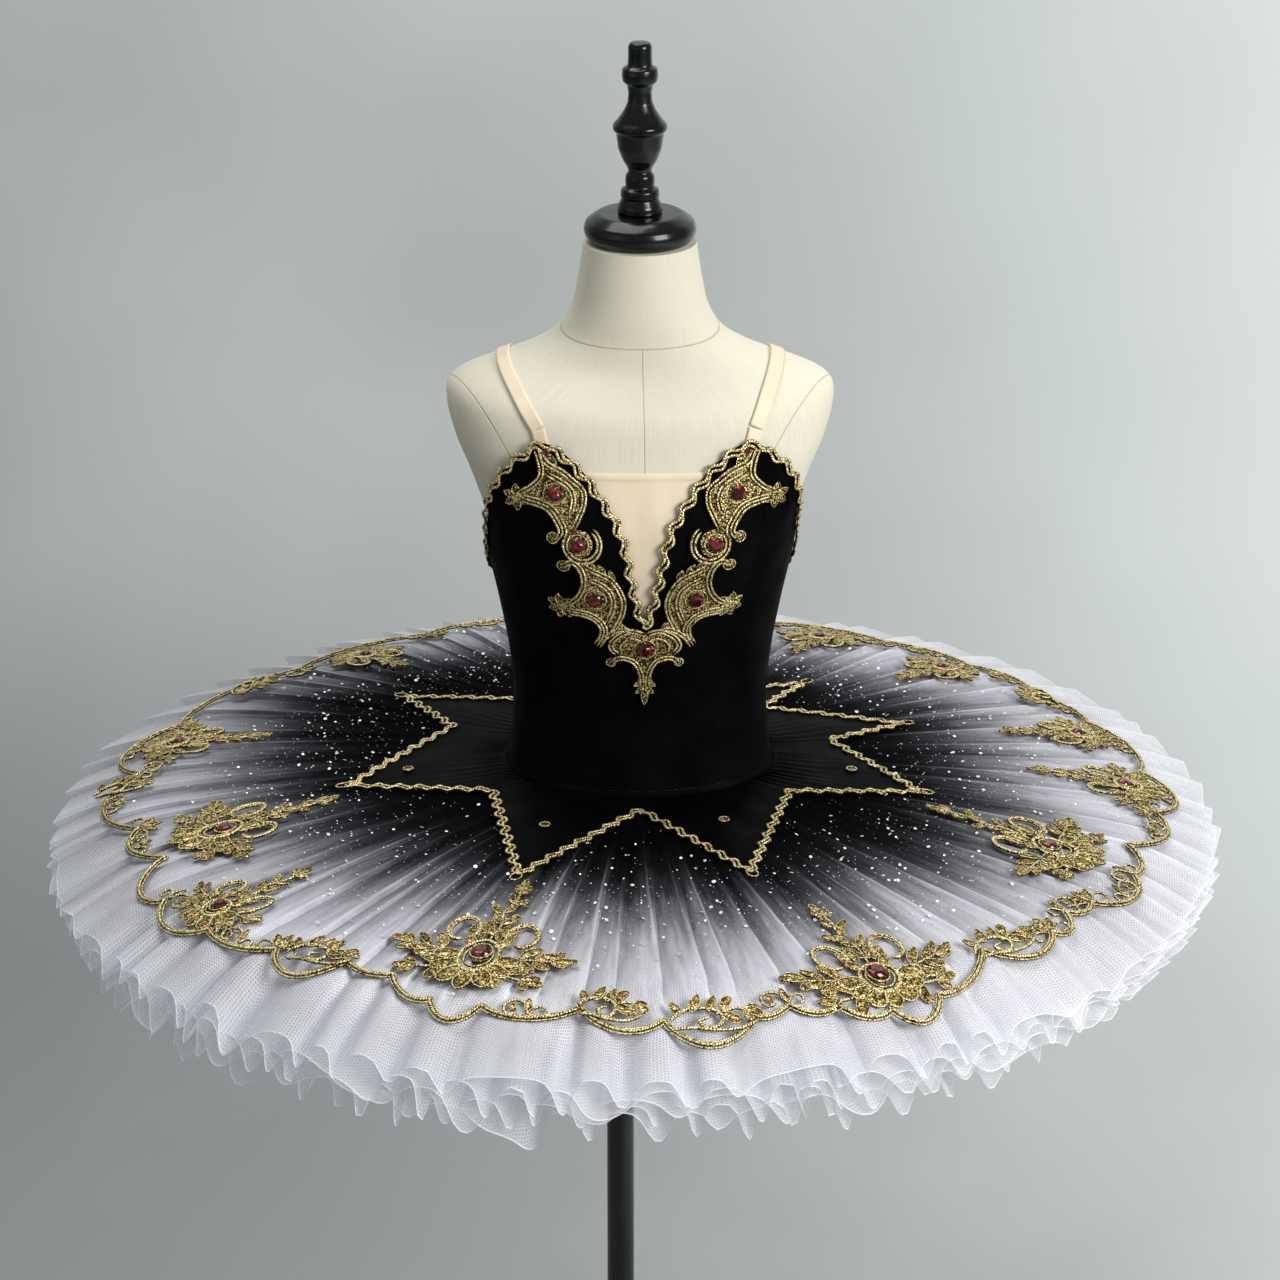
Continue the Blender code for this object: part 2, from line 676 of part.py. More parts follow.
def strap_half(foot_height, foot_reach, behind, count):
    """Points from a strap's foot to the shoulder, closer together at the top."""
    ridge = shoulder_height(STRAP_SHOULDER_X)
    places = []
    for i in range(count):
        t = i / count
        height = ridge - (ridge - foot_height) * (1 - t) ** 2
        reach = foot_reach + (STRAP_SHOULDER_X - foot_reach) * (1 - (1 - t) ** 2)
        places.append((strap_azimuth(height, reach, behind), height))
    return places


def build_straps(collection, beige):
    """Each strap runs from its front tab over the shoulder to the bodice's back edge."""
    peak = neckline_height(STRAP_FRONT_AZIMUTH)
    front_foot = peak + STRAP_TAB
    tab_top = front_foot - STRAP_JOIN
    tab_foot = peak - STRAP_TUCK
    back_foot = neckline_height(STRAP_BACK_AZIMUTH) + STRAP_BACK_CLEAR
    ridge = shoulder_height(STRAP_SHOULDER_X)
    out = STRAP_CLEAR + THIN_CLOTH / 2
    for side, label in ((1, "right"), (-1, "left")):
        front_reach = abs(worn_point(side * STRAP_FRONT_AZIMUTH, peak).x - FORM_X)
        back_reach = abs(worn_point(side * STRAP_BACK_AZIMUTH, back_foot).x - FORM_X)
        front = strap_half(front_foot, front_reach + STRAP_LEAN, False, 9)
        back = strap_half(back_foot, back_reach, True, 11)
        middle = front + [(90.0, ridge)] + list(reversed(back))
        add_strap("strap_" + label, side, middle, out, beige, collection)
        tab = []
        for i in range(4):
            height = tab_foot + (tab_top - tab_foot) * i / 3
            reach = front_reach + STRAP_LEAN * (i / 1.5 - 1)
            tab.append((strap_azimuth(height, reach, False), height))
        add_strap("strap_tab_" + label, side, tab, out, beige, collection)


def add_strap(name, side, places, out, beige, collection):
    points = [form_point(side * azimuth, height, out) for azimuth, height in places]
    normals = [form_normal(side * azimuth, height) for azimuth, height in places]
    add_ribbon(name, points, normals, False, STRAP_WIDTH, THIN_CLOTH, beige, collection)


def build_neckline_braid(collection, gold):
    """Gold braid along the bodice's top edge, from the centre back round to the centre back."""
    out = TRIM_OUT + TRIM / 2
    drop = BRAID_WIDTH * 0.35
    azimuths = [0, 2, 4, 6, 8, 10, 12.5, 15.5, 19, 24, 29, 34, 39, 44, 48.5, 52, 56, 61]
    azimuths += [66, 71, 76, 81, 86, 91, 97, 104, 112, 121, 131, 142, 154, 167]
    azimuths.append(180 - CENTRE_BACK_GAP * 2)
    azimuths = [-a for a in reversed(azimuths[1:])] + azimuths
    points = [worn_point(a, neckline_height(a) - drop, out) for a in azimuths]
    normals = [form_normal(a + BODICE_TURN, neckline_height(a) - drop) for a in azimuths]
    add_ribbon("neckline_braid", points, normals, False, BRAID_WIDTH, TRIM, gold, collection)


def appliques():
    """The raised gold pieces of the bodice, one of each pair on each side."""
    pieces = []
    ring = [OutlinePoint(15 * math.sin(math.tau * i / 12), 15 * math.cos(math.tau * i / 12))
            for i in range(12)]
    for side, label in ((1, "right"), (-1, "left")):
        upper = [OutlinePoint(side * point.across, point.up) for point in UPPER_OUTLINE]
        lower = [OutlinePoint(side * point.across, point.up) for point in LOWER_OUTLINE]
        pieces.append(Applique("applique_upper_" + label, side * 39.5, 1.2205, upper))
        pieces.append(Applique("applique_middle_" + label, side * 29, 1.179, ring))
        pieces.append(Applique("applique_lower_" + label, side * 23, 1.129, lower))
    pieces.append(Applique("applique_centre", 0, 1.0765, mirrored(CENTRE_HALF_OUTLINE)))
    return pieces


def build_appliques(collection, gold, garnet):
    for piece in appliques():
        turn = math.degrees(1 / form_radius(piece.azimuth, piece.height))
        out = TRIM_OUT + TRIM / 2

        def place(across, up):
            return worn_point(piece.azimuth + across * turn, piece.height + up, out)

        add_outline(piece.name, piece.outline, BODICE_SPACING, place, gold, collection)
        top = TRIM_OUT + TRIM + SEAM_GAP * 2
        spot = worn_point(piece.azimuth, piece.height, top)
        normal = form_normal(piece.azimuth + BODICE_TURN, piece.height)
        add_stone(piece.name.replace("applique", "stone"), spot, normal, garnet, collection)


def add_stone(name, spot, normal, garnet, collection):
    """A faceted garnet: a short twelve-sided cone with its table cut flat."""
    mesh_data = bmesh.new()
    lift = Matrix.Translation((0, 0, STONE_HEIGHT / 2))
    bmesh.ops.create_cone(mesh_data, cap_ends=True, segments=12, radius1=STONE_RADIUS,
                          radius2=STONE_RADIUS * 0.6, depth=STONE_HEIGHT, matrix=lift)
    item = add_mesh(name, mesh_data, garnet, collection, 10)
    item.location = spot
    item.rotation_euler = normal.to_track_quat("Z", "Y").to_euler()


# ---- The plate ----------------------------------------------------------------------------------
def build_yoke(collection, velvet):
    """The fitted hip band that the bodice ends on and the net rows are sewn to."""
    middle = BODICE_OUT + CLOTH / 2
    top = SEAM_HEIGHT - SEAM_GAP * 2
    rows = []
    for i in range(4):
        height = YOKE_HEM + (top - YOKE_HEM) * i / 3
        rows.append([form_point(360 * j / 36, height, middle) for j in range(36)])
    add_grid("hip_yoke", rows, True, CLOTH, velvet, collection)


def sewn_radius(azimuth, drop):
    """Radius just outside the yoke, where a layer that hangs below the top net is sewn on."""
    height = plate_height(azimuth, SEWN_RADIUS) - drop - NET
    return form_radius(wrap(azimuth), height) + BODICE_OUT + CLOTH + SEWN_CLEAR


def net_rows(pleats, shares, drop_inner, drop_rim, depth, shorter, phase):
    """Rings of a pleated net layer, each ring zigzagging between crest and valley."""
    rings = []
    for share in shares:
        ring = []
        for i in range(pleats * 2):
            azimuth = 180 * i / pleats + phase
            inner = sewn_radius(azimuth, drop_inner)
            radius = inner + (rim_radius(azimuth) - shorter - inner) * share
            rise = depth * smoothstep(0.150, 0.500, radius) * (1 if i % 2 else -1)
            drop = drop_inner + (drop_rim - drop_inner) * share
            height = plate_height(azimuth, radius) - drop + rise
            ring.append(polar(azimuth, radius, height))
        rings.append(ring)
    return rings


def build_net(collection, ombre, white):
    top = net_rows(TOP_PLEATS, TOP_SHARES, 0, 0, PLEAT_DEPTH, 0, 0)
    add_grid("net_layer_top", top, True, NET, ombre, collection)
    for layer in range(1, UNDER_LAYERS + 1):
        shorter = 0.004 * layer - 0.003
        rows = net_rows(UNDER_PLEATS, UNDER_SHARES, YOKE_STEP * layer, RIM_STEP * layer,
                        UNDER_DEPTH, shorter, 2.5 * layer)
        add_grid("net_layer_%d" % (layer + 1), rows, True, NET, white, collection)


def star_outline():
    """Azimuth and radius all round the star, straight from corner to corner on the plate."""
    places = []
    ends = STAR_CORNERS[1:] + [StarCorner(STAR_CORNERS[0].azimuth + 360, STAR_CORNERS[0].radius)]
    for start, end in zip(STAR_CORNERS, ends):
        first = polar(start.azimuth, start.radius, 0)
        last = polar(end.azimuth, end.radius, 0)
        for i in range(STAR_STEPS):
            point = first.lerp(last, i / STAR_STEPS)
            azimuth = math.degrees(math.atan2(point.x - FORM_X, -point.y))
            places.append((azimuth, math.hypot(point.x - FORM_X, point.y)))
    return places


def build_star(collection, satin, gold):
    """Black satin star over the net, gathered into the seam, with braid along its edge."""
    lift = NET_CLEAR + THIN_CLOTH / 2
    outline = star_outline()
    rows = []
    for share in (0, 0.5, 1):
        row = []
        for azimuth, radius in outline:
            inner = sewn_radius(azimuth, 0)
            row.append(plate_point(azimuth, inner + (radius - inner) * share, lift))
        rows.append(row)
    add_grid("star_overlay", rows, True, THIN_CLOTH, satin, collection)

    braid_lift = NET_CLEAR + THIN_CLOTH + SEAM_GAP + TRIM / 2
    points = [plate_point(azimuth, radius, braid_lift) for azimuth, radius in outline]
    normals = [plate_normal(azimuth, radius) for azimuth, radius in outline]
    add_ribbon("star_braid", points, normals, True, BRAID_WIDTH, TRIM, gold, collection)


# ---- The gold border ----------------------------------------------------------------------------
def motif_reach(motif, share):
    return share * (motif.inward if share > 0 else motif.outward) / 100


def build_border(collection, gold):
    """A scalloped cord round the net, with the motifs and scrolls laid on it."""
    piece_lift = BORDER_CLEAR + TRIM / 2
    cord_lift = piece_lift + SEAM_GAP
    route = border_route()
    points = [plate_point(azimuth, radius, cord_lift) for azimuth, radius in route]
    normals = [plate_normal(azimuth, radius) for azimuth, radius in route]
    add_ribbon("border_cord", points, normals, True, BORDER_CORD_WIDTH, TRIM, gold, collection)

    for motif in MOTIFS:
        outline = [OutlinePoint(point.across * motif.width / 100, motif_reach(motif, point.up))
                   for point in mirrored(MOTIF_HALF_OUTLINE)]

        def place(across, up):
            radius = motif.radius - up
            return plate_point(motif.azimuth + math.degrees(across / radius), radius, piece_lift)

        add_outline(motif.name, outline, BORDER_SPACING, place, gold, collection)
    filler_lift = cord_lift + TRIM + LAID_GAP
    for filler in FILLERS:
        outline = []
        turn = math.radians(filler.turn)
        for i in range(10):
            angle = math.tau * i / 10
            along = filler.length * 500 * math.cos(angle)
            up = filler.length * 170 * math.sin(angle)
            outline.append(OutlinePoint(along * math.cos(turn) - up * math.sin(turn),
                                        along * math.sin(turn) + up * math.cos(turn)))

        def place(across, up):
            radius = filler.radius - up
            azimuth = filler.azimuth + math.degrees(across / radius)
            return plate_point(azimuth, radius, filler_lift)

        add_outline(filler.name, outline, BORDER_SPACING, place, gold, collection)


def main():
    clear_scene()
    collection = bpy.data.collections.new("ballet_tutu")
    bpy.context.scene.collection.children.link(collection)
    gloss_black = make_material("black_lacquer", (0.010, 0.010, 0.011), 0.18)
    linen = make_material("cream_linen", (0.78, 0.73, 0.60), 0.85)
    velvet = make_material("black_velvet", (0.006, 0.006, 0.007), 0.75)
    satin = make_material("black_satin", (0.008, 0.008, 0.010), 0.45)
    beige = make_material("beige_satin", (0.74, 0.55, 0.41), 0.55)
    ombre = make_material("ombre_net", (0.35, 0.36, 0.40), 0.80)
    white = make_material("white_net", (0.85, 0.84, 0.88), 0.80)
    gold = make_material("gold_thread", (0.62, 0.47, 0.20), 0.38, 1.0)
    garnet = make_material("garnet_glass", (0.30, 0.02, 0.02), 0.08)

    build_stand(collection, gloss_black)
    build_form(collection, linen, gloss_black)
    build_yoke(collection, velvet)
    build_net(collection, ombre, white)
    build_bodice(collection, velvet)
    build_insert(collection, beige)
    build_straps(collection, beige)
    build_neckline_braid(collection, gold)
    build_appliques(collection, gold, garnet)
    build_star(collection, satin, gold)
    build_border(collection, gold)


main()
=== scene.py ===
# %% [markdown]
# # A black and white pancake tutu, worn by a dress form
# The costume has three parts that a maker builds apart and joins at the hip: a boned velvet bodice,
# a wide stiff plate of pleated net, and the gold trim laid over both. The notebook follows that
# order. Lengths are metres, +Z is up and the front of the garment faces -Y.
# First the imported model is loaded: its solids stay where they are, and each soft one is then
# replaced by a finer piece that follows the same form.

# %% Load the frame
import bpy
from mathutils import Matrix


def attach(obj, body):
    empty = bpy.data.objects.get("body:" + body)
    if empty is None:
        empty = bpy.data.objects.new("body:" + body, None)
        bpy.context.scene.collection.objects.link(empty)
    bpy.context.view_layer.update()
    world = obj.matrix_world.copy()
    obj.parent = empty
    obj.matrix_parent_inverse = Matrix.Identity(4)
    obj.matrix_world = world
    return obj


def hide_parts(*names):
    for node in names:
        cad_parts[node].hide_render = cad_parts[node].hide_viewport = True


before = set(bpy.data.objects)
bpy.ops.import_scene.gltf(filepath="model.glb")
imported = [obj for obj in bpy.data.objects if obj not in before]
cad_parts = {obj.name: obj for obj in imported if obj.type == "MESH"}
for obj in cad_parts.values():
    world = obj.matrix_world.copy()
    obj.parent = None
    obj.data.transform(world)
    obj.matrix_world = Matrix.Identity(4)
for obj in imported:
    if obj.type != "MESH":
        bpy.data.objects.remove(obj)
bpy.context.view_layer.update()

import math
from collections import namedtuple

import bmesh
import bpy
import numpy as np
from mathutils import Vector
from mathutils.geometry import delaunay_2d_cdt

# %% [markdown]
# ## Camera, floor and light
# A tutu is looked down on a little, so that the plate shows as a wide ellipse. A long lens four
# metres away keeps that ellipse even from front to back. Floor and wall are one sheet with a wide
# curve between them, as in a studio, so that no line crosses the picture behind the net.

# %% Tables
def table(names, *rows):
    """A short table: its columns' names, and a row of values for each thing."""
    kind = namedtuple("Row", names)
    return [kind(*row) for row in rows]


# %% Camera
FORM_X = 0.018                 # the form stands a little to the +X side of its pole
VIEW_CENTRE = Vector((FORM_X, 0.0, 1.05))
VIEW_DISTANCE = 4.18
VIEW_ELEVATION = math.radians(20.7)
FOCAL_PIXELS = 4700            # for a frame of FRAME_PIXELS
FRAME_PIXELS = 1280

camera_data = bpy.data.cameras.new("camera")
camera_data.sensor_width = 36.0
camera_data.lens = camera_data.sensor_width * FOCAL_PIXELS / FRAME_PIXELS
camera = bpy.data.objects.new("camera", camera_data)
bpy.context.scene.collection.objects.link(camera)
back_off = Vector((0, -math.cos(VIEW_ELEVATION), math.sin(VIEW_ELEVATION))) * VIEW_DISTANCE
camera.location = VIEW_CENTRE + back_off
camera.rotation_euler = (-back_off).to_track_quat("-Z", "Y").to_euler()
bpy.context.scene.camera = camera
print("lens %.1f mm at height %.2f m" % (camera_data.lens, camera.location.z))

# %% Light
# One big soft window stands at the right, a weak one fills the left, and the sky is pale grey.
LAMPS = table("name x y z width power color",
              ("key", 1.95, -1.95, 2.35, 1.3, 80, (1.0, 0.99, 0.96)),
              ("fill", -3.2, -2.6, 2.2, 2.4, 6, (0.95, 0.98, 1.0)),
              ("top", -0.5, 0.5, 3.8, 1.8, 40, (1.0, 0.998, 0.985)))
for lamp in LAMPS:
    lamp_data = bpy.data.lights.new(lamp.name, "AREA")
    lamp_data.size = lamp.width
    lamp_data.energy = lamp.power
    lamp_data.color = lamp.color
    light = bpy.data.objects.new(lamp.name, lamp_data)
    light.location = (lamp.x, lamp.y, lamp.z)
    light.rotation_euler = (VIEW_CENTRE - light.location).to_track_quat("-Z", "Y").to_euler()
    bpy.context.scene.collection.objects.link(light)

world = bpy.data.worlds.new("studio")
bpy.context.scene.world = world
world.use_nodes = True
sky = world.node_tree.nodes["Background"].inputs
sky["Color"].default_value = (0.86, 0.88, 0.87, 1)
sky["Strength"].default_value = 0.30
bpy.context.scene.view_settings.view_transform = "Standard"
bpy.context.scene.cycles.transparent_max_bounces = 16

# %% [markdown]
# ## Helpers for nodes
# Materials and Geometry Nodes are both trees of nodes, so the same short helpers serve for all of
# them: one adds a node and fills its sockets, and the others add a sum, a pattern or a relief.

# %% Node helpers
def add_node(tree, kind, inputs=(), **settings):
    """Add a node. An input is a value, or another node's output to link."""
    item = tree.nodes.new(kind)
    for key, value in settings.items():
        setattr(item, key, value)
    connect(tree, item, inputs if isinstance(inputs, dict) else dict(enumerate(inputs)))
    return item


def connect(tree, item, inputs):
    """Fill a node's sockets: an output is linked, and a plain value stays on the socket."""
    for key, value in inputs.items():
        if isinstance(value, bpy.types.NodeSocket):
            tree.links.new(value, item.inputs[key])
        elif value is not None:
            item.inputs[key].default_value = value


def calc(tree, operation, first, second=None, third=None):
    return add_node(tree, "ShaderNodeMath", (first, second, third), operation=operation).outputs[0]


def times(tree, first, second):
    return calc(tree, "MULTIPLY", first, second)


def minus(tree, first, second):
    return calc(tree, "SUBTRACT", first, second)


def times_plus(tree, first, second, third):
    return calc(tree, "MULTIPLY_ADD", first, second, third)


def stirred(tree, value, amount, base):
    """The base, pushed up and down by a value that swings round 0.5."""
    return times_plus(tree, minus(tree, value, 0.5), amount, base)


def vector(tree, operation, first, second=None, output=0):
    item = add_node(tree, "ShaderNodeVectorMath", (first, second), operation=operation)
    return item.outputs[output]


def scaled(tree, direction, amount):
    settings = {0: direction, "Scale": amount}
    return add_node(tree, "ShaderNodeVectorMath", settings, operation="SCALE").outputs[0]


def coordinates(tree, kind="Object"):
    return add_node(tree, "ShaderNodeTexCoord").outputs[kind]


def noise(tree, place, scale, detail=2.0):
    item = add_node(tree, "ShaderNodeTexNoise", {"Vector": place, "Scale": scale, "Detail": detail})
    return item.outputs["Fac"]


def bump(tree, strength, distance, height):
    """Relief for a shader's Normal. The distance is in metres."""
    inputs = {"Strength": strength, "Distance": distance, "Height": height}
    return add_node(tree, "ShaderNodeBump", inputs).outputs[0]


def mixed(tree, share, first, second):
    """One colour laid over another by a share from 0 to 1."""
    inputs = {"Factor": share, "A": first, "B": second}
    return add_node(tree, "ShaderNodeMix", inputs, data_type="RGBA").outputs["Result"]


def ramp(tree, value, stops):
    """A colour ramp. A stop is a place from 0 to 1 and a colour."""
    item = add_node(tree, "ShaderNodeValToRGB", (value,))
    while len(item.color_ramp.elements) < len(stops):
        item.color_ramp.elements.new(0.5)
    for element, (place, color) in zip(item.color_ramp.elements, stops):
        element.position = place
        element.color = (*color, 1)
    return item.outputs["Color"]


def spread(tree, value, low, high, new_low=0.0, new_high=1.0):
    """Map a range of values onto another range."""
    return add_node(tree, "ShaderNodeMapRange", (value, low, high, new_low, new_high)).outputs[0]


def new_material(name):
    material = bpy.data.materials.new(name)
    material.use_nodes = True
    return material, material.node_tree, material.node_tree.nodes["Principled BSDF"]


def new_group(name, inputs, outputs):
    """A shader node group with named sockets. Returns its tree, inputs and outputs."""
    tree = bpy.data.node_groups.new(name, "ShaderNodeTree")
    for label, kind, value in inputs:
        socket = tree.interface.new_socket(label, in_out="INPUT", socket_type="NodeSocket" + kind)
        if value is not None:
            socket.default_value = value
    for label, kind in outputs:
        tree.interface.new_socket(label, in_out="OUTPUT", socket_type="NodeSocket" + kind)
    return tree, tree.nodes.new("NodeGroupInput").outputs, tree.nodes.new("NodeGroupOutput").inputs


# %% Floor and wall
FLOOR_FRONT = -14.0
WALL_Y = 1.75
WALL_HEIGHT = 4.2
FLOOR_CURVE = 1.1              # radius of the curve between floor and wall
FLOOR_HALF_WIDTH = 14.0

backdrop_mesh = bmesh.new()
profile = [(FLOOR_FRONT, 0.0)]
for i in range(17):
    angle = math.pi / 2 * i / 16
    profile.append((WALL_Y - FLOOR_CURVE + FLOOR_CURVE * math.sin(angle),
                    FLOOR_CURVE - FLOOR_CURVE * math.cos(angle)))
profile.append((WALL_Y, WALL_HEIGHT))
left = [backdrop_mesh.verts.new((-FLOOR_HALF_WIDTH, y, z)) for y, z in profile]
right = [backdrop_mesh.verts.new((FLOOR_HALF_WIDTH, y, z)) for y, z in profile]
for i in range(len(profile) - 1):
    backdrop_mesh.faces.new((left[i], right[i], right[i + 1], left[i + 1]))
mesh = bpy.data.meshes.new("backdrop")
backdrop_mesh.to_mesh(mesh)
backdrop_mesh.free()
mesh.shade_smooth()
backdrop = bpy.data.objects.new("backdrop", mesh)
bpy.context.scene.collection.objects.link(backdrop)

# Painted shade: the plaster's colour darkens to the left and towards the floor, where the light falls off,
# and the plaster is a little cloudy
plaster, tree, shader = new_material("pale_plaster")
place = coordinates(tree)
cloudy = noise(tree, place, 1.1, 3.0)
across = add_node(tree, "ShaderNodeSeparateXYZ", (place,)).outputs
painted_falloff = calc(tree, "POWER", spread(tree, across[0], -1.1, 1.1), 4.0)
painted_falloff = times_plus(tree, painted_falloff, 1.05, 0.21)
painted_falloff = times(tree, painted_falloff, spread(tree, across[2], -0.1, 1.7, 0.50, 1.0))
painted_falloff = calc(tree, "ADD", painted_falloff, spread(tree, across[2], 0.0, 1.6, -0.14, 0.05))
painted_falloff = stirred(tree, cloudy, 0.5, painted_falloff)
tint = ramp(tree, painted_falloff, [(0.0, (0.40, 0.415, 0.425)), (0.38, (0.68, 0.73, 0.725)),
                        (0.85, (0.94, 0.97, 0.95))])
# Seen from behind the wall is clear, so that the costume's back can be looked at too
behind = add_node(tree, "ShaderNodeNewGeometry").outputs["Backfacing"]
connect(tree, shader, {"Base Color": tint, "Roughness": 0.9, "Specular IOR Level": 0.1,
                       "Alpha": minus(tree, 1.0, behind)})
mesh.materials.append(plaster)

# %% [markdown]
# ## The body that everything is worn on
# Bodice, straps and trim all follow the dress form, so the form is written down once: a short table
# of sections, read as smooth curves, gives a radius for any azimuth and height. An azimuth runs
# round the form, 0 at the centre front and +90 on the +X side. Points are worked out as whole
# arrays, because a smooth cloth needs thousands of them.

# %% Sections of the form
FORM_SECTIONS = table(
    "height half_width front_depth back_depth",
    (0.760, 0.112, 0.080, 0.092),
    (0.790, 0.127, 0.088, 0.106),
    (0.830, 0.134, 0.092, 0.112),
    (0.870, 0.131, 0.093, 0.108),
    (0.910, 0.121, 0.092, 0.098),
    (0.940, 0.1135, 0.0900, 0.0900),
    (0.975, 0.1100, 0.0860, 0.0830),
    (1.005, 0.1085, 0.0840, 0.0800),
    (1.050, 0.1125, 0.0880, 0.0815),
    (1.095, 0.1205, 0.0960, 0.0870),
    (1.145, 0.1310, 0.1040, 0.0940),
    (1.180, 0.1365, 0.1060, 0.0980),
    (1.215, 0.1480, 0.1020, 0.1000),
    (1.250, 0.1620, 0.0940, 0.0990),
    (1.285, 0.1690, 0.0820, 0.0910),
    (1.298, 0.1640, 0.0680, 0.0770),
    (1.309, 0.1420, 0.0560, 0.0640),
    (1.321, 0.1060, 0.0510, 0.0590),
    (1.336, 0.0770, 0.0510, 0.0570),
    (1.357, 0.0610, 0.0530, 0.0560),
    (1.385, 0.0540, 0.0515, 0.0530),
    (1.4177, 0.0488, 0.0488, 0.0488))
CHEST_SQUARE = 0.35            # how much squarer than an ellipse the chest's section is
CHEST_HEIGHT = 1.22
CHEST_HALF_HEIGHT = 0.09
BUST_OUT = 0.006
BUST_AZIMUTH = 36.0
BUST_HALF_ARC = 22.0
BUST_HEIGHT = 1.165
BUST_HALF_HEIGHT = 0.043


def smooth(xs, ys, x):
    """Read a curve through a table's points that never overshoots them."""
    xs = np.asarray(xs, float)
    ys = np.asarray(ys, float)
    x = np.clip(x, xs[0], xs[-1])
    slopes = np.diff(ys) / np.diff(xs)
    tangents = np.concatenate(([slopes[0]], (slopes[1:] + slopes[:-1]) / 2, [slopes[-1]]))
    tangents[1:-1][slopes[1:] * slopes[:-1] <= 0] = 0
    i = np.clip(np.searchsorted(xs, x, "right") - 1, 0, len(xs) - 2)
    width = xs[i + 1] - xs[i]
    t = (x - xs[i]) / width
    return ((2 * t ** 3 - 3 * t ** 2 + 1) * ys[i] + (t ** 3 - 2 * t ** 2 + t) * width * tangents[i]
            + (3 * t ** 2 - 2 * t ** 3) * ys[i + 1] + (t ** 3 - t ** 2) * width * tangents[i + 1])


def column(rows, name):
    return [getattr(row, name) for row in rows]


def softened(values, steps):
    """Blur a dense curve a little, so that no section shows as a line on the linen."""
    reach = np.arange(-3 * steps, 3 * steps + 1)
    weights = np.exp(-(reach / steps) ** 2 / 2)
    padded = np.concatenate((np.full(len(reach) // 2, values[0]), values,
                             np.full(len(reach) // 2, values[-1])))
    return np.convolve(padded, weights / weights.sum(), "valid")


def read_table(rows, key, name, places):
    """One column of a table as a smooth curve over another."""
    return smooth(column(rows, key), column(rows, name), places)


LEVEL_STEP = 0.0005
SOFTENED_STEPS = 7
HEIGHTS = np.arange(FORM_SECTIONS[0].height, FORM_SECTIONS[-1].height + LEVEL_STEP, LEVEL_STEP)
GIRTH = {name: softened(read_table(FORM_SECTIONS, "height", name, HEIGHTS), SOFTENED_STEPS)
         for name in ("half_width", "front_depth", "back_depth")}


def form_radius(azimuth, height):
    """Distance from the form's axis to its surface."""
    azimuth = (np.asarray(azimuth, float) + 180) % 360 - 180
    angle = np.radians(azimuth)
    across = np.interp(height, HEIGHTS, GIRTH["half_width"])
    deep = np.where(np.cos(angle) > 0, np.interp(height, HEIGHTS, GIRTH["front_depth"]),
                    np.interp(height, HEIGHTS, GIRTH["back_depth"]))
    power = 2.0 + CHEST_SQUARE * np.exp(-((height - CHEST_HEIGHT) / CHEST_HALF_HEIGHT) ** 2)
    sine = np.abs(np.sin(angle)) / across
    cosine = np.abs(np.cos(angle)) / deep
    radius = (sine ** power + cosine ** power) ** (-1 / power)
    turn = (np.abs(azimuth) - BUST_AZIMUTH) / BUST_HALF_ARC
    rise = (height - BUST_HEIGHT) / BUST_HALF_HEIGHT
    return radius + BUST_OUT * np.exp(-turn ** 2 - rise ** 2)


def polar(azimuth, radius, height):
    """Points round the form's axis."""
    angle = np.radians(azimuth)
    return np.stack(np.broadcast_arrays(FORM_X + radius * np.sin(angle), -radius * np.cos(angle),
                                        height), -1)


def unit(vectors):
    return vectors / np.maximum(np.linalg.norm(vectors, axis=-1, keepdims=True), 1e-12)


def run_length(path):
    """How far along a path each of its points is."""
    return np.concatenate(([0], np.cumsum(np.linalg.norm(np.diff(path, axis=0), axis=1))))


def heading(path, closed=False):
    """The direction of a path at each of its points."""
    return unit(np.roll(path, -1, 0) - np.roll(path, 1, 0) if closed else np.gradient(path, axis=0))


def as_arrays(*values):
    return np.broadcast_arrays(*(np.asarray(value, float) for value in values))


def form_surface(azimuth, height):
    return polar(azimuth, form_radius(azimuth, height), height)


def form_normal(azimuth, height):
    along = form_surface(azimuth + 0.5, height) - form_surface(azimuth - 0.5, height)
    upward = form_surface(azimuth, height + 0.001) - form_surface(azimuth, height - 0.001)
    return unit(np.cross(along, upward))


def form_point(azimuth, height, out):
    """Points on the form, moved out along its normals."""
    azimuth, height, out = as_arrays(azimuth, height, out)
    return form_surface(azimuth, height) + form_normal(azimuth, height) * out[..., None]


bust = form_surface(np.arange(0, 360, 2.0), BUST_HEIGHT + np.zeros(180))
girth = np.linalg.norm(np.roll(bust, -1, 0) - bust, axis=1).sum()
print("bust %.0f mm round" % (girth * 1000))

# %% [markdown]
# ## Meshes from points
# Every cloth piece here is a grid of points: rows along it and columns across it. One helper joins
# such grids, with a UV map in metres along the cloth, so that a weave keeps its size whatever the
# piece's shape is. A cord is a grid too, wrapped round its path.

# %% Mesh helpers
Patch = namedtuple("Patch", "points faces uvs finish", defaults=(0,))   # finish: which material


def grid_patch(points, across, along, closed=False):
    """A grid of points (rows, columns, 3). across and along give its UV map in metres."""
    rows, columns = points.shape[:2]
    i, j = np.meshgrid(np.arange(rows - 1), np.arange(columns if closed else columns - 1),
                       indexing="ij")
    i = i.ravel()
    j = j.ravel()
    k = (j + 1) % columns
    faces = np.stack((i * columns + j, i * columns + k, (i + 1) * columns + k,
                      (i + 1) * columns + j), -1)
    along = np.broadcast_to(np.asarray(along, float).reshape(rows, -1), (rows, columns + 1))
    u = np.stack((across[j], across[j + 1], across[j + 1], across[j]), -1)
    v = np.stack((along[i, j], along[i, j + 1], along[i + 1, j + 1], along[i + 1, j]), -1)
    return Patch(points.reshape(-1, 3), faces, np.stack((u, v), -1))


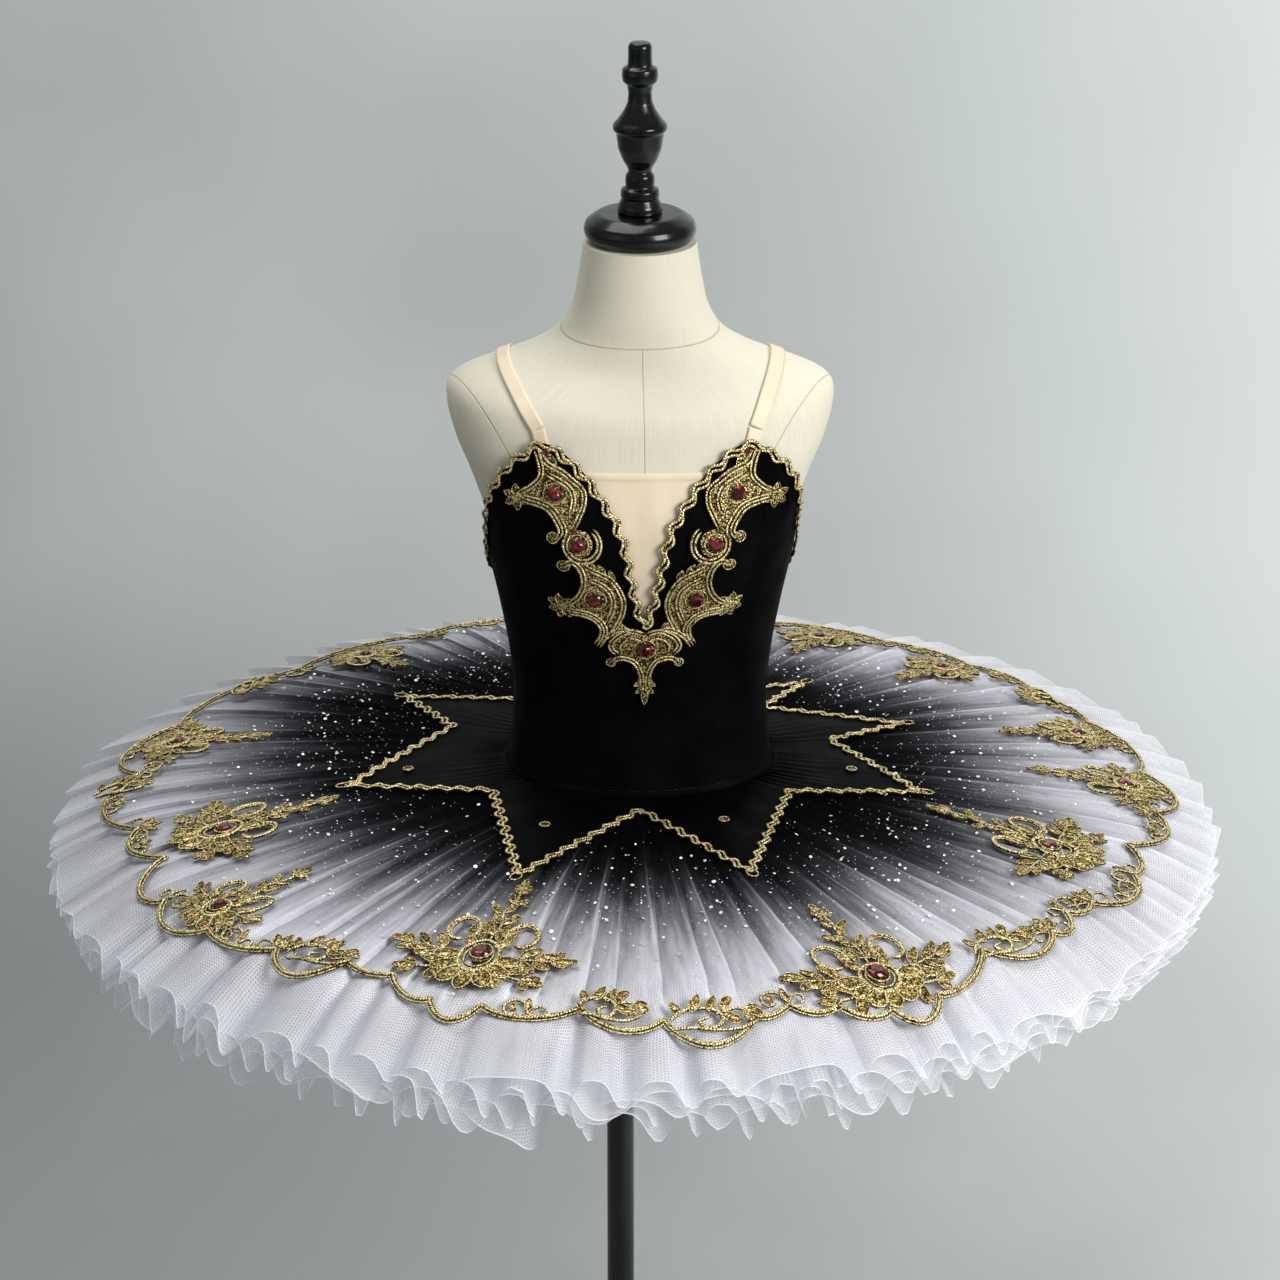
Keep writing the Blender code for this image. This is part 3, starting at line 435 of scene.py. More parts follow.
def tube_patch(path, normals, width, height, sides, closed=False):
    """A cord along a path. Width and height may change along it; normals point off the cloth."""
    tangent = heading(path, closed)
    across = unit(np.cross(tangent, normals))
    upward = unit(np.cross(across, tangent))
    count = len(path)
    turn = -2 * np.pi * np.arange(sides) / sides
    width = np.broadcast_to(width, count)[:, None, None] / 2
    height = np.broadcast_to(height, count)[:, None, None] / 2
    ring = (path[:, None] + across[:, None] * np.cos(turn)[None, :, None] * width
            + upward[:, None] * np.sin(turn)[None, :, None] * height)
    along = run_length(path)
    if closed:
        ring = np.concatenate((ring, ring[:1]))
        along = np.append(along, along[-1] + np.linalg.norm(path[0] - path[-1]))
    body = grid_patch(ring, np.arange(sides + 1) / sides, along, closed=True)
    faces = body.faces.copy()
    if closed:
        faces[faces >= count * sides] -= count * sides
        return [Patch(body.points[:count * sides], faces, body.uvs)]
    # The ring turns backwards, so that the cord's faces point outwards and its caps do too
    first = np.arange(sides)[::-1][None]
    last = (count - 1) * sides + np.arange(sides)[None]
    caps = np.zeros((1, sides, 2))
    return [body, Patch(np.zeros((0, 3)), first - len(body.points), caps),
            Patch(np.zeros((0, 3)), last - len(body.points), caps)]


def new_piece(name, patches, material, rounded=True, merge=0.0):
    """Join patches into one object. A patch's faces count from its own first point."""
    finishes = material if isinstance(material, list) else [material]
    points = np.concatenate([patch.points for patch in patches])
    starts = np.cumsum([0] + [len(patch.points) for patch in patches[:-1]])
    corners = np.concatenate([(patch.faces + start).ravel() for patch, start in zip(patches, starts)])
    totals = np.concatenate([np.full(len(patch.faces), patch.faces.shape[1]) for patch in patches])
    uvs = np.concatenate([patch.uvs.reshape(-1, 2) for patch in patches])
    mesh = bpy.data.meshes.new(name)
    mesh.vertices.add(len(points))
    mesh.vertices.foreach_set("co", points.astype(np.float32).ravel())
    mesh.loops.add(len(corners))
    mesh.loops.foreach_set("vertex_index", corners.astype(np.int32))
    mesh.polygons.add(len(totals))
    mesh.polygons.foreach_set("loop_start", np.concatenate(([0], np.cumsum(totals)[:-1])).astype(np.int32))
    mesh.polygons.foreach_set("loop_total", totals.astype(np.int32))
    layer = mesh.uv_layers.new(name="cloth")
    layer.data.foreach_set("uv", uvs.astype(np.float32).ravel())
    mesh.polygons.foreach_set("material_index", np.concatenate(
        [np.full(len(patch.faces), patch.finish, np.int32) for patch in patches]))
    mesh.update(calc_edges=True)
    if merge:
        joined = bmesh.new()
        joined.from_mesh(mesh)
        bmesh.ops.remove_doubles(joined, verts=joined.verts, dist=merge)
        joined.to_mesh(mesh)
        joined.free()
    mesh.validate()
    mesh.polygons.foreach_set("use_smooth", np.full(len(mesh.polygons), rounded))
    for finish in finishes:
        mesh.materials.append(finish)
    piece = bpy.data.objects.new(name, mesh)
    bpy.context.scene.collection.objects.link(piece)
    return piece


def triangles(piece):
    return sum(len(polygon.vertices) - 2 for polygon in piece.data.polygons)


def seat(piece, slot, *nodes):
    """Attach a finished piece to the root body, in place of its CAD nodes, which are hidden. The slot is not
    used.
    """
    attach(piece, "root")
    if nodes:
        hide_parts(*nodes)
    print("%-26s %6d triangles" % (piece.name, triangles(piece)))
    return piece


def baked(piece, modifier):
    """Keep what a modifier makes of a piece as its plain mesh, and take the modifier off."""
    evaluated = piece.evaluated_get(bpy.context.evaluated_depsgraph_get())
    finished = bpy.data.meshes.new_from_object(evaluated)
    piece.modifiers.remove(modifier)
    plain = piece.data
    piece.data = finished
    bpy.data.meshes.remove(plain)
    finished.name = piece.name


def thicken(piece, wall):
    """Give a sheet its real thickness, half to each side."""
    solidify = piece.modifiers.new("wall", "SOLIDIFY")
    solidify.thickness = wall
    solidify.offset = 0.0
    baked(piece, solidify)


def sharpen(piece, degrees):
    piece.data.set_sharp_from_angle(angle=math.radians(degrees))


def turned_patch(profile, axis_x, sides):
    """A turned shape. The profile runs from its bottom up, as (radius, height)."""
    turn = 2 * np.pi * np.arange(sides) / sides
    profile = np.array(profile, float)
    radius = profile[:, :1]
    height = profile[:, 1:]
    points = np.stack(np.broadcast_arrays(axis_x + radius * np.cos(turn), radius * np.sin(turn), height), -1)
    return [grid_patch(points, np.arange(sides + 1) / sides, run_length(profile), closed=True)]

# %% [markdown]
# ## Finishes for the stand and the form
# The stand and the turned neck cap are wood and steel under black gloss lacquer. The lacquer has
# faint ripples and dust in it, or it would look like plastic. The form is padded and covered with
# cream linen: threads cross at right angles, the upright ones a little thicker, and slubs run along
# them. One weave group is shared by every woven cloth here, each with its own thread size.

# %% Lacquer
lacquer, tree, shader = new_material("black_lacquer")
place = coordinates(tree)
ripple = noise(tree, place, 55.0)
dust = noise(tree, place, 700.0, 3.0)
connect(tree, shader, {
    "Normal": bump(tree, 0.10, 0.0006, ripple),
    "Base Color": ramp(tree, dust, [(0.45, (0.0012, 0.0012, 0.0013)), (0.75, (0.0060, 0.0060, 0.0065))]),
    "Roughness": spread(tree, ripple, 0.3, 0.7, 0.15, 0.30),
    "Specular IOR Level": 0.30, "Coat Weight": 0.22, "Coat Roughness": 0.08})


# %% The weave group
def build_weave():
    """Threads that cross: Height for bump, Shade for colour."""
    tree, given, result = new_group(
        "weave", [("Vector", "Vector", None), ("Threads Across", "Float", 1200.0),
                  ("Threads Along", "Float", 1200.0), ("Slub", "Float", 0.5)],
        [("Height", "Float"), ("Shade", "Float")])
    place = add_node(tree, "ShaderNodeSeparateXYZ", (given["Vector"],)).outputs
    warp = calc(tree, "SINE", times(tree, place[0], times(tree, given["Threads Across"], math.tau)))
    weft = calc(tree, "SINE", times(tree, place[1], times(tree, given["Threads Along"], math.tau)))
    crossing = times(tree, warp, weft)
    long_slub = vector(tree, "MULTIPLY", given["Vector"], (900.0, 45.0, 45.0))
    uneven = times(tree, minus(tree, noise(tree, long_slub, 1.0), 0.5), given["Slub"])
    tree.links.new(times_plus(tree, crossing, 0.5, uneven), result["Height"])
    tree.links.new(times_plus(tree, crossing, 0.12, calc(tree, "ADD", uneven, 0.5)), result["Shade"])
    return tree


weave = build_weave()


def weave_on(tree, place, threads_across, threads_along, slub):
    """Weave a cloth with its own numbers of threads to the metre."""
    return add_node(tree, "ShaderNodeGroup", {
        "Vector": place, "Threads Across": threads_across, "Threads Along": threads_along,
        "Slub": slub}, node_tree=weave).outputs


def build_seam_line():
    """A line where a tilted plane cuts the piece: 1 on the seam, 0 away from it."""
    tree, given, result = new_group(
        "seam_line", [("Position", "Vector", None), ("Plane", "Vector", (1.0, 0.0, 0.0)),
                      ("Offset", "Float", 0.0), ("Half Width", "Float", 0.0005)], [("Seam", "Float")])
    reach = vector(tree, "DOT_PRODUCT", given["Position"], given["Plane"], "Value")
    away = calc(tree, "ABSOLUTE", minus(tree, reach, given["Offset"]))
    near = calc(tree, "DIVIDE", away, given["Half Width"])
    tree.links.new(minus(tree, 1.0, calc(tree, "MINIMUM", near, 1.0)), result["Seam"])
    return tree


seam_line = build_seam_line()

# %% Linen
# Seams are planes: one through the centre front and back, one that slants from each shoulder, and
# one that cuts off the neck. The centre seam stops where it meets the neck's.
FORM_SEAMS = table("x y z offset half_width",
                   (1.0, 0.040, 0.0, FORM_X, 0.0009),
                   (0.860, 0.349, 0.372, 0.357, 0.0008),
                   (-0.860, 0.349, 0.372, 0.357 - 2 * FORM_X * 0.860, 0.0008),
                   (0.0, -0.1867, 0.9824, 1.3213, 0.0009))
NECK_SEAM = FORM_SEAMS[-1]


def seam_plane(row):
    return (row.x, row.y, row.z)


linen, tree, shader = new_material("cream_linen")
place = add_node(tree, "ShaderNodeTexCoord").outputs
weaving = weave_on(tree, place["UV"], 900.0, 800.0, 0.55)
soft = noise(tree, place["Object"], 9.0)
cloth = ramp(tree, weaving["Shade"], [(0.15, (0.64, 0.60, 0.47)), (0.85, (0.88, 0.85, 0.71))])
aged = mixed(tree, spread(tree, soft, 0.3, 0.8, 0.0, 0.35), cloth, (0.80, 0.75, 0.60, 1))
level = vector(tree, "DOT_PRODUCT", place["Object"], seam_plane(NECK_SEAM), "Value")
below_neck = calc(tree, "LESS_THAN", level, NECK_SEAM.offset)
seam = 0.0
for row in FORM_SEAMS:
    shown = add_node(tree, "ShaderNodeGroup", {
        "Position": place["Object"], "Plane": seam_plane(row), "Offset": row.offset,
        "Half Width": row.half_width}, node_tree=seam_line).outputs["Seam"]
    if row is not NECK_SEAM:
        shown = times(tree, shown, below_neck)
    seam = calc(tree, "MAXIMUM", shown, seam)
# The seams are darkened in colour: painted shade in their creases, besides the relief that presses them in
seam_shaded = mixed(tree, times(tree, seam, 0.55), aged, (0.30, 0.26, 0.18, 1))
relief = times_plus(tree, seam, -3.0, weaving["Height"])
connect(tree, shader, {
    "Base Color": seam_shaded,
    "Normal": bump(tree, 0.5, 0.0004, relief),
    "Roughness": spread(tree, weaving["Shade"], 0.0, 1.0, 0.95, 0.78),
    "Sheen Weight": 0.15})

# %% [markdown]
# ## Stand, form and neck cap
# The base and pole are plain turned shapes. The cap and its finial were turned on a lathe, so each
# is a profile spun round the form's axis. The padded torso is lofted through the sections, with
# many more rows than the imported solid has, so that the light runs smoothly over it.

# %% Turned profiles, each a list of (radius, height)
POLE_RADIUS = 0.0125
BASE_RADIUS = 0.175
BASE_THICKNESS = 0.014
BASE_COLLAR = 0.010            # flat ring left free round the pole
FORM_BOTTOM = FORM_SECTIONS[0].height
NECK_TOP = FORM_SECTIONS[-1].height
SEAM_GAP = 0.0003
CAP_TOP = 1.4434
AXIS = 0.00002                 # a turned end closes on a ring this small, which is then merged
POLE_MERGE = 0.00005
POLE_FOOT = BASE_THICKNESS + SEAM_GAP
POLE_TOP = FORM_BOTTOM - SEAM_GAP
BASE_PROFILE = [(AXIS, 0), (BASE_RADIUS, 0), (BASE_RADIUS, BASE_THICKNESS),
                (POLE_RADIUS + BASE_COLLAR, BASE_THICKNESS), (AXIS, BASE_THICKNESS)]
POLE_PROFILE = [(AXIS, POLE_FOOT), (POLE_RADIUS, POLE_FOOT), (POLE_RADIUS, POLE_TOP), (AXIS, POLE_TOP)]
CAP_PROFILE = [
    (AXIS, NECK_TOP + SEAM_GAP), (0.0420, NECK_TOP + SEAM_GAP), (0.0440, 1.4195), (0.0478, 1.4240),
    (0.0489, 1.4300), (0.0470, 1.4360), (0.0410, 1.4405), (0.0362, CAP_TOP), (AXIS, CAP_TOP)]
FINIAL_PROFILE = [
    (AXIS, CAP_TOP + SEAM_GAP), (0.0195, CAP_TOP + SEAM_GAP), (0.0190, 1.4500), (0.0160, 1.4560),
    (0.0168, 1.4585), (0.0165, 1.4640), (0.0124, 1.4665), (0.0128, 1.4715), (0.0124, 1.4765),
    (0.0098, 1.4797), (0.0112, 1.4840), (0.0150, 1.4900), (0.0188, 1.5000), (0.0206, 1.5135),
    (0.0214, 1.5150), (0.0234, 1.5165), (0.0234, 1.5210), (0.0200, 1.5245), (0.0140, 1.5330),
    (0.0108, 1.5400), (0.0100, 1.5490), (0.0112, 1.5555), (0.0150, 1.5590), (0.0157, 1.5645),
    (0.0150, 1.5700), (0.0106, 1.5725), (0.0102, 1.5800), (0.0102, 1.5890), (0.0085, 1.5922),
    (AXIS, 1.5925)]


def rounded_profile(corners, cut):
    """Round a profile's inner corners: each gives way to a short curve of that size."""
    points = [corners[0]]
    for triple in zip(corners, corners[1:], corners[2:]):
        before, corner, after = (np.array(point, float) for point in triple)
        reach = min(cut, np.linalg.norm(before - corner) * 0.45, np.linalg.norm(after - corner) * 0.45)
        start = corner + unit(before - corner) * reach
        end = corner + unit(after - corner) * reach
        for t in np.linspace(0, 1, 6):
            points.append(tuple(start * (1 - t) ** 2 + corner * 2 * t * (1 - t) + end * t ** 2))
    points.append(corners[-1])
    return points


# %% Stand, neck cap and finial
TURNED = table("name node profile cut axis sides",
               ("stand_base_lacquered", "stand_base", BASE_PROFILE, 0.003, 0, 96),
               ("stand_pole_lacquered", "stand_pole", POLE_PROFILE, 0.001, 0, 48),
               ("neck_cap_turned", "form_neck_cap", CAP_PROFILE, 0.0022, FORM_X, 96),
               ("finial_turned", "form_finial", FINIAL_PROFILE, 0.0014, FORM_X, 48))
for row in TURNED:
    profile = rounded_profile(row.profile, row.cut)
    piece = new_piece(row.name, turned_patch(profile, row.axis, row.sides), lacquer, merge=POLE_MERGE)
    seat(piece, "black_lacquer", row.node)

# %% Torso
TORSO_COLUMNS = 120
SHOULDER_FROM = 1.28           # rows are closest over the shoulders' curve
SHOULDER_TO = 1.345
POLE_SHRINK = 0.0001
torso_heights = np.concatenate((np.linspace(FORM_BOTTOM, SHOULDER_FROM, 90),
                                np.linspace(SHOULDER_FROM + 0.0025, SHOULDER_TO, 34),
                                np.linspace(SHOULDER_TO + 0.005, NECK_TOP, 16)))
turns = np.arange(TORSO_COLUMNS) * 360 / TORSO_COLUMNS
points = form_surface(*as_arrays(turns[None, :], torso_heights[:, None]))


def drawn_in(ring, height):
    """A ring shrunk round its middle, which closes an end."""
    middle = np.array([FORM_X, 0, height])
    return (middle + (ring - middle) * POLE_SHRINK)[None]


points = np.concatenate((drawn_in(points[0], FORM_BOTTOM), points, drawn_in(points[-1], NECK_TOP)))
along = np.concatenate(([FORM_BOTTOM - 0.1], torso_heights, [NECK_TOP + 0.05]))
round_length = np.arange(TORSO_COLUMNS + 1) * girth / TORSO_COLUMNS
torso = new_piece("form_linen_torso", [grid_patch(points, round_length, along, closed=True)], linen,
                  merge=POLE_MERGE)
sharpen(torso, 50)
seat(torso, "cream_linen", "form_torso")

# %% [markdown]
# ## Bodice
# The bodice is cut in seven panels of black stretch velvet: one front with the deep V, two side
# fronts, two side backs and two backs that hook together. Each panel is a grid between its two
# seams, from the basque seam at the waist up to the neckline. The seams are pressed in a little,
# where the stitching pulls the pile down, and soft creases run from the bust to the underarm.

# %% Velvet
velvet, tree, shader = new_material("black_velvet")
place = coordinates(tree)
pile = noise(tree, place, 1400.0)
brushed = noise(tree, place, 26.0, 3.0)
connect(tree, shader, {
    "Base Color": ramp(tree, brushed, [(0.35, (0.0008, 0.0008, 0.0009)), (0.75, (0.0026, 0.0026, 0.0029))]),
    "Normal": bump(tree, 0.5, 0.0004, pile),
    "Roughness": spread(tree, brushed, 0.3, 0.7, 0.85, 0.62),
    "Specular IOR Level": 0.035, "Sheen Weight": 0.02, "Sheen Roughness": 0.35})

# %% Neckline and panels
CLOTH = 0.0015
THIN_CLOTH = 0.0011
TRIM = 0.0020
LAID_GAP = 0.0008
INSERT_OUT = LAID_GAP
BODICE_OUT = INSERT_OUT + THIN_CLOTH + LAID_GAP + SEAM_GAP
TRIM_OUT = BODICE_OUT + CLOTH + LAID_GAP
SEAM_HEIGHT = 0.943
YOKE_HEM = 0.862
BODICE_TURN = 2.5              # degrees that the bodice is turned on the form
CENTRE_BACK_GAP = 0.25
PEAK_AZIMUTH = 48.5            # the neckline's highest place, where a strap starts
NECKLINE = table("azimuth height",
                 (0, 1.103), (3.5, 1.121), (6, 1.142), (8, 1.163), (10, 1.181), (14, 1.200),
                 (18.5, 1.2135), (25, 1.230), (31, 1.242), (37, 1.2515), (43, 1.2595),
                 (PEAK_AZIMUTH, 1.262), (52.5, 1.2545), (58, 1.2425), (65, 1.217), (73, 1.186),
                 (82, 1.150), (92, 1.128), (110, 1.117), (145, 1.108), (180, 1.104))
# A panel's columns stand evenly at crowding 1 and closer together at its middle above 1
PANELS = table("name bottom_from bottom_to top_from top_to columns crowding",
               ("bodice_front", -41, 41, -51, 51, 60, 1.3),
               ("bodice_side_front_right", 41, 88, 51, 92, 24, 1),
               ("bodice_side_front_left", -88, -41, -92, -51, 24, 1),
               ("bodice_side_back_right", 88, 138, 92, 140, 24, 1),
               ("bodice_side_back_left", -138, -88, -140, -92, 24, 1),
               ("bodice_back_right", 138, 180, 140, 180, 20, 1),
               ("bodice_back_left", -180, -138, -180, -140, 20, 1))
PANEL_GAP = 0.00042
SEAM_PRESS = 0.0006            # how far a seam is pressed in, and how wide
SEAM_PRESS_WIDTH = 0.0035
BODICE_ROWS = 64
BODICE_RADIUS = 0.115          # about, to turn a panel's angle into a length
SLOPED_SHARE = 0.97            # what the slanting neckline leaves of a panel's area

# Creases as soft ridges (+) and troughs (-): degrees, metres, and the lean of the crease's top
CREASE_COLUMNS = "azimuth height length width depth lean"
BODICE_CREASES = table(CREASE_COLUMNS,
                       (57, 1.205, 0.070, 3.0, -0.0009, 4), (63, 1.195, 0.085, 3.2, 0.0006, 5),
                       (70, 1.165, 0.060, 3.0, -0.0008, 4), (-58, 1.200, 0.075, 3.4, -0.0008, -5),
                       (-66, 1.180, 0.090, 3.6, 0.0005, -4), (-73, 1.160, 0.060, 3.0, -0.0007, -4),
                       (47, 1.150, 0.060, 3.0, -0.0006, -6), (-46, 1.145, 0.050, 3.0, -0.0006, 6),
                       (78, 0.995, 0.030, 12.0, -0.0007, 9), (-80, 1.002, 0.034, 13.0, -0.0007, -9),
                       (115, 1.010, 0.028, 14.0, -0.0008, 7), (-118, 1.000, 0.030, 15.0, -0.0007, -8),
                       (152, 0.985, 0.040, 9.0, -0.0005, 5), (-155, 0.990, 0.036, 10.0, -0.0005, -6))


def stretched_over_form(area=None):
    """Put a sheet's flat size, rounded, in a dict that nothing keeps."""
    area = {} if area is None else {"area": round(float(area), 4)}


def creased(creases, azimuth, height):
    total = 0.0
    for crease in creases:
        along = (height - crease.height) / (crease.length / 2)
        across = (azimuth - crease.azimuth - crease.lean * along) / crease.width
        total = total + crease.depth * np.exp(-across ** 2 - along ** 2)
    return total


def worn_point(azimuth, height, out=0.0):
    """A point on the form, by its azimuth on the bodice."""
    return form_point(azimuth + BODICE_TURN, height, out)


def neckline_height(azimuth):
    azimuth = (np.asarray(azimuth, float) + 180) % 360 - 180
    return read_table(NECKLINE, "azimuth", "height", np.abs(azimuth))


def smoothstep(low, high, value):
    t = np.clip((np.asarray(value, float) - low) / (high - low), 0, 1)
    return t * t * (3 - 2 * t)


# %% Cut the panels
for panel in PANELS:
    trim = math.degrees(PANEL_GAP / 2 / float(form_radius(90, SEAM_HEIGHT)))
    inset_from = CENTRE_BACK_GAP if panel.bottom_from == -180 else trim
    inset_to = CENTRE_BACK_GAP if panel.bottom_to == 180 else trim
    turn = np.linspace(-1, 1, panel.columns + 1)
    t = ((1 + np.sign(turn) * np.abs(turn) ** panel.crowding) / 2)[None, :]
    low, high = ((start + inset_from) * (1 - t) + (end - inset_to) * t for start, end in
                 ((panel.bottom_from, panel.bottom_to), (panel.top_from, panel.top_to)))
    share = np.linspace(0, 1, BODICE_ROWS + 1)[:, None]
    azimuth = low + (high - low) * smoothstep(0.15, 1.0, share)
    height = SEAM_HEIGHT + (neckline_height(high) - SEAM_HEIGHT) * share
    cut_width = math.radians(panel.top_to - panel.top_from) * BODICE_RADIUS
    from_seam = np.minimum(t, 1 - t) * cut_width
    pressed = -SEAM_PRESS * np.exp(-(from_seam / SEAM_PRESS_WIDTH) ** 2)
    relief = creased(BODICE_CREASES, azimuth, height) + pressed
    points = worn_point(azimuth, height, BODICE_OUT + CLOTH / 2 + relief)
    across = cut_width * np.append(t[0], t[0, -1])
    piece = new_piece(panel.name + "_velvet", [grid_patch(points, across, height[:, :1])], velvet)
    thicken(piece, CLOTH)
    sharpen(piece, 60)
    seat(piece, "black_velvet", panel.name)
    lengths = height[-1] - SEAM_HEIGHT
    stretched_over_form(lengths.mean() * cut_width * SLOPED_SHARE)

# %% Hip yoke
# Under the plate the bodice goes on as a fitted yoke, which every row of net is sewn to.
YOKE_ROUND = 0.72
yoke_heights = np.linspace(YOKE_HEM, SEAM_HEIGHT - SEAM_GAP * 2, 22)[:, None]
yoke_turns = np.arange(0, 360, 3.0)[None, :]
yoke_points = form_point(yoke_turns, yoke_heights, BODICE_OUT + CLOTH / 2)
yoke_across = np.arange(121) * YOKE_ROUND / 120
yoke_sheet = grid_patch(yoke_points, yoke_across, yoke_heights, closed=True)
yoke = new_piece("hip_yoke_velvet", [yoke_sheet], velvet)
thicken(yoke, CLOTH)
seat(yoke, "black_velvet", "hip_yoke")
stretched_over_form()

# %% [markdown]
# ## Insert and straps
# Behind the V lies a beige insert, so that the deep neckline stays put on a dancer. Its top edge is
# turned over and shows as a soft roll. The straps are flat beige elastic, joined to a short tab
# that comes out of each peak of the bodice. Both are smooth cloth with a fine weave and a low sheen.

# %% Beige satin
beige, tree, shader = new_material("beige_satin")
place = add_node(tree, "ShaderNodeTexCoord").outputs
weaving = weave_on(tree, place["UV"], 1500.0, 1500.0, 0.35)
soft = noise(tree, place["Object"], 40.0)
tone = times_plus(tree, soft, 0.5, times(tree, weaving["Shade"], 0.5))
connect(tree, shader, {
    "Base Color": ramp(tree, tone, [(0.30, (0.80, 0.65, 0.46)), (0.70, (0.93, 0.80, 0.62))]),
    "Normal": bump(tree, 0.25, 0.0002, weaving["Height"]),
    "Roughness": spread(tree, soft, 0.3, 0.7, 0.62, 0.50),
    "Sheen Weight": 0.2})

# %% Insert
INSERT_TOP = 1.239
INSERT_MARGIN = 0.008
INSERT_HALF_WIDTH = 0.06
INSERT_RADIUS = 0.105
ROLL_DEPTH = 0.0065            # the turned-over top edge, and how far it stands out
ROLL_OUT = 0.0009
INSERT_CREASES = table(CREASE_COLUMNS,
                       (-4, 1.205, 0.050, 2.6, -0.0003, 3),
                       (6, 1.190, 0.070, 2.4, 0.0003, -3),
                       (11, 1.215, 0.040, 3.0, -0.0003, 4))
v_edge = [point for point in NECKLINE if point.azimuth <= PEAK_AZIMUTH]
insert_foot = NECKLINE[0].height - INSERT_MARGIN
insert_heights = np.concatenate((np.linspace(insert_foot, INSERT_TOP - ROLL_DEPTH * 1.3, 34),
                                 np.linspace(INSERT_TOP - ROLL_DEPTH * 1.2, INSERT_TOP, 12)))
insert_half = read_table(v_edge, "height", "azimuth", insert_heights)
insert_half = insert_half + np.degrees(INSERT_MARGIN / form_radius(insert_half, insert_heights))
share = np.linspace(-1, 1, 41)
azimuth = insert_half[:, None] * share[None, :]
height = insert_heights[:, None] + 0 * azimuth
roll = np.clip((insert_heights - (INSERT_TOP - ROLL_DEPTH)) / ROLL_DEPTH, 0, 1)
roll = ROLL_OUT * np.sqrt(np.clip(np.sin(np.pi * np.clip(roll, 0, 0.97)), 0, 1))[:, None]
open_middle = smoothstep(1.0, 0.75, np.abs(share))[None, :]
relief = roll * open_middle + creased(INSERT_CREASES, azimuth, height)
points = worn_point(azimuth, height, INSERT_OUT + THIN_CLOTH / 2 + relief)
across = np.append(share, 1) * INSERT_HALF_WIDTH
insert = new_piece("insert_beige", [grid_patch(points, across, insert_heights[:, None])], beige)
thicken(insert, THIN_CLOTH)
seat(insert, "beige_satin", "modesty_panel")
insert_width = np.mean(2 * np.radians(insert_half)) * INSERT_RADIUS
stretched_over_form(insert_width * (INSERT_TOP - insert_foot))

# %% Strap routes
STRAP_WIDTH = 0.0125
STRAP_TAB = 0.011
STRAP_TUCK = 0.008
STRAP_BACK_AZIMUTH = 140.0
STRAP_SHOULDER_X = 0.119
STRAP_LEAN = 0.0025
STRAP_BACK_CLEAR = 0.0035
STRAP_JOIN = 0.0020
STRAP_CLEAR = 0.0010


def halve(test, low, high):
    """Close in on the place between low and high where the test stops being true."""
    for _ in range(40):
        middle = (low + high) / 2
        if test(middle):
            low = middle
        else:
            high = middle
    return low


def strap_azimuth(height, reach, behind):
    """Where the form is as wide as the strap's place, at one height."""
    def wider(azimuth):
        return form_radius(azimuth, height) * math.sin(math.radians(azimuth)) > reach
    return halve(wider, 90.0, 180.0 if behind else 0.0)


shoulder_ridge = halve(lambda height: form_radius(90, height) > STRAP_SHOULDER_X, 1.29, 1.36)


def strap_half(foot_height, foot_reach, behind, count):
    """A strap's route from its foot to the shoulder."""
    places = []
    for i in range(count):
        t = i / count
        height = shoulder_ridge - (shoulder_ridge - foot_height) * (1 - t) ** 2
        reach = foot_reach + (STRAP_SHOULDER_X - foot_reach) * (1 - (1 - t) ** 2)
        places.append((strap_azimuth(height, reach, behind), height))
    return places


def ribbon_rows(path, normals, width, columns):
    """A flat ribbon along a path."""
    across = unit(np.cross(heading(path), normals))
    shares = np.linspace(-0.5, 0.5, columns)
    return path[:, None] + across[:, None] * (shares * width)[None, :, None]


# %% Straps and tabs
strap_bars = []                # where each strap is stitched across to its tab
for side, label in ((1, "right"), (-1, "left")):
    peak = float(neckline_height(PEAK_AZIMUTH))
    back_foot = float(neckline_height(STRAP_BACK_AZIMUTH)) + STRAP_BACK_CLEAR
    front_reach = abs(float(worn_point(side * PEAK_AZIMUTH, peak)[0]) - FORM_X)
    back_reach = abs(float(worn_point(side * STRAP_BACK_AZIMUTH, back_foot)[0]) - FORM_X)
    front = strap_half(peak + STRAP_TAB, front_reach + STRAP_LEAN, False, 40)
    back = strap_half(back_foot, back_reach, True, 48)
    route = np.array(front + [(90.0, shoulder_ridge)] + back[::-1])
    tab_heights = np.linspace(peak - STRAP_TUCK, peak + STRAP_TAB - STRAP_JOIN * 0.4, 12)
    tab_reach = front_reach + STRAP_LEAN * (np.linspace(0, 2, 12) - 1)
    tab = np.array([(strap_azimuth(h, r, False), h) for h, r in zip(tab_heights, tab_reach)])
    for name, places, node in (("strap_elastic_", route, "strap_"), ("strap_tab_beige_", tab, "strap_tab_")):
        path = form_point(side * places[:, 0], places[:, 1], STRAP_CLEAR + THIN_CLOTH / 2)
        normals = form_normal(side * places[:, 0], places[:, 1])
        rows = ribbon_rows(path, normals, STRAP_WIDTH, 7)
        steps = run_length(path)
        if places is route:
            raised = rows[:3, 1:-1] + normals[:3, None] * THIN_CLOTH * 0.6
            strap_bars.append(raised[0] * 0.6 + raised[1] * 0.4)
            strap_bars.append(raised[1] * 0.3 + raised[2] * 0.7)
        if side > 0:
            rows = rows[:, ::-1]
        across = np.linspace(0, STRAP_WIDTH, 8)
        strap = new_piece(name + label, [grid_patch(rows, across, steps[:, None])], beige)
        thicken(strap, THIN_CLOTH)
        seat(strap, "beige_satin", node + label)
        print("  real length %.0f mm" % (steps[-1] * 1000))
        stretched_over_form()
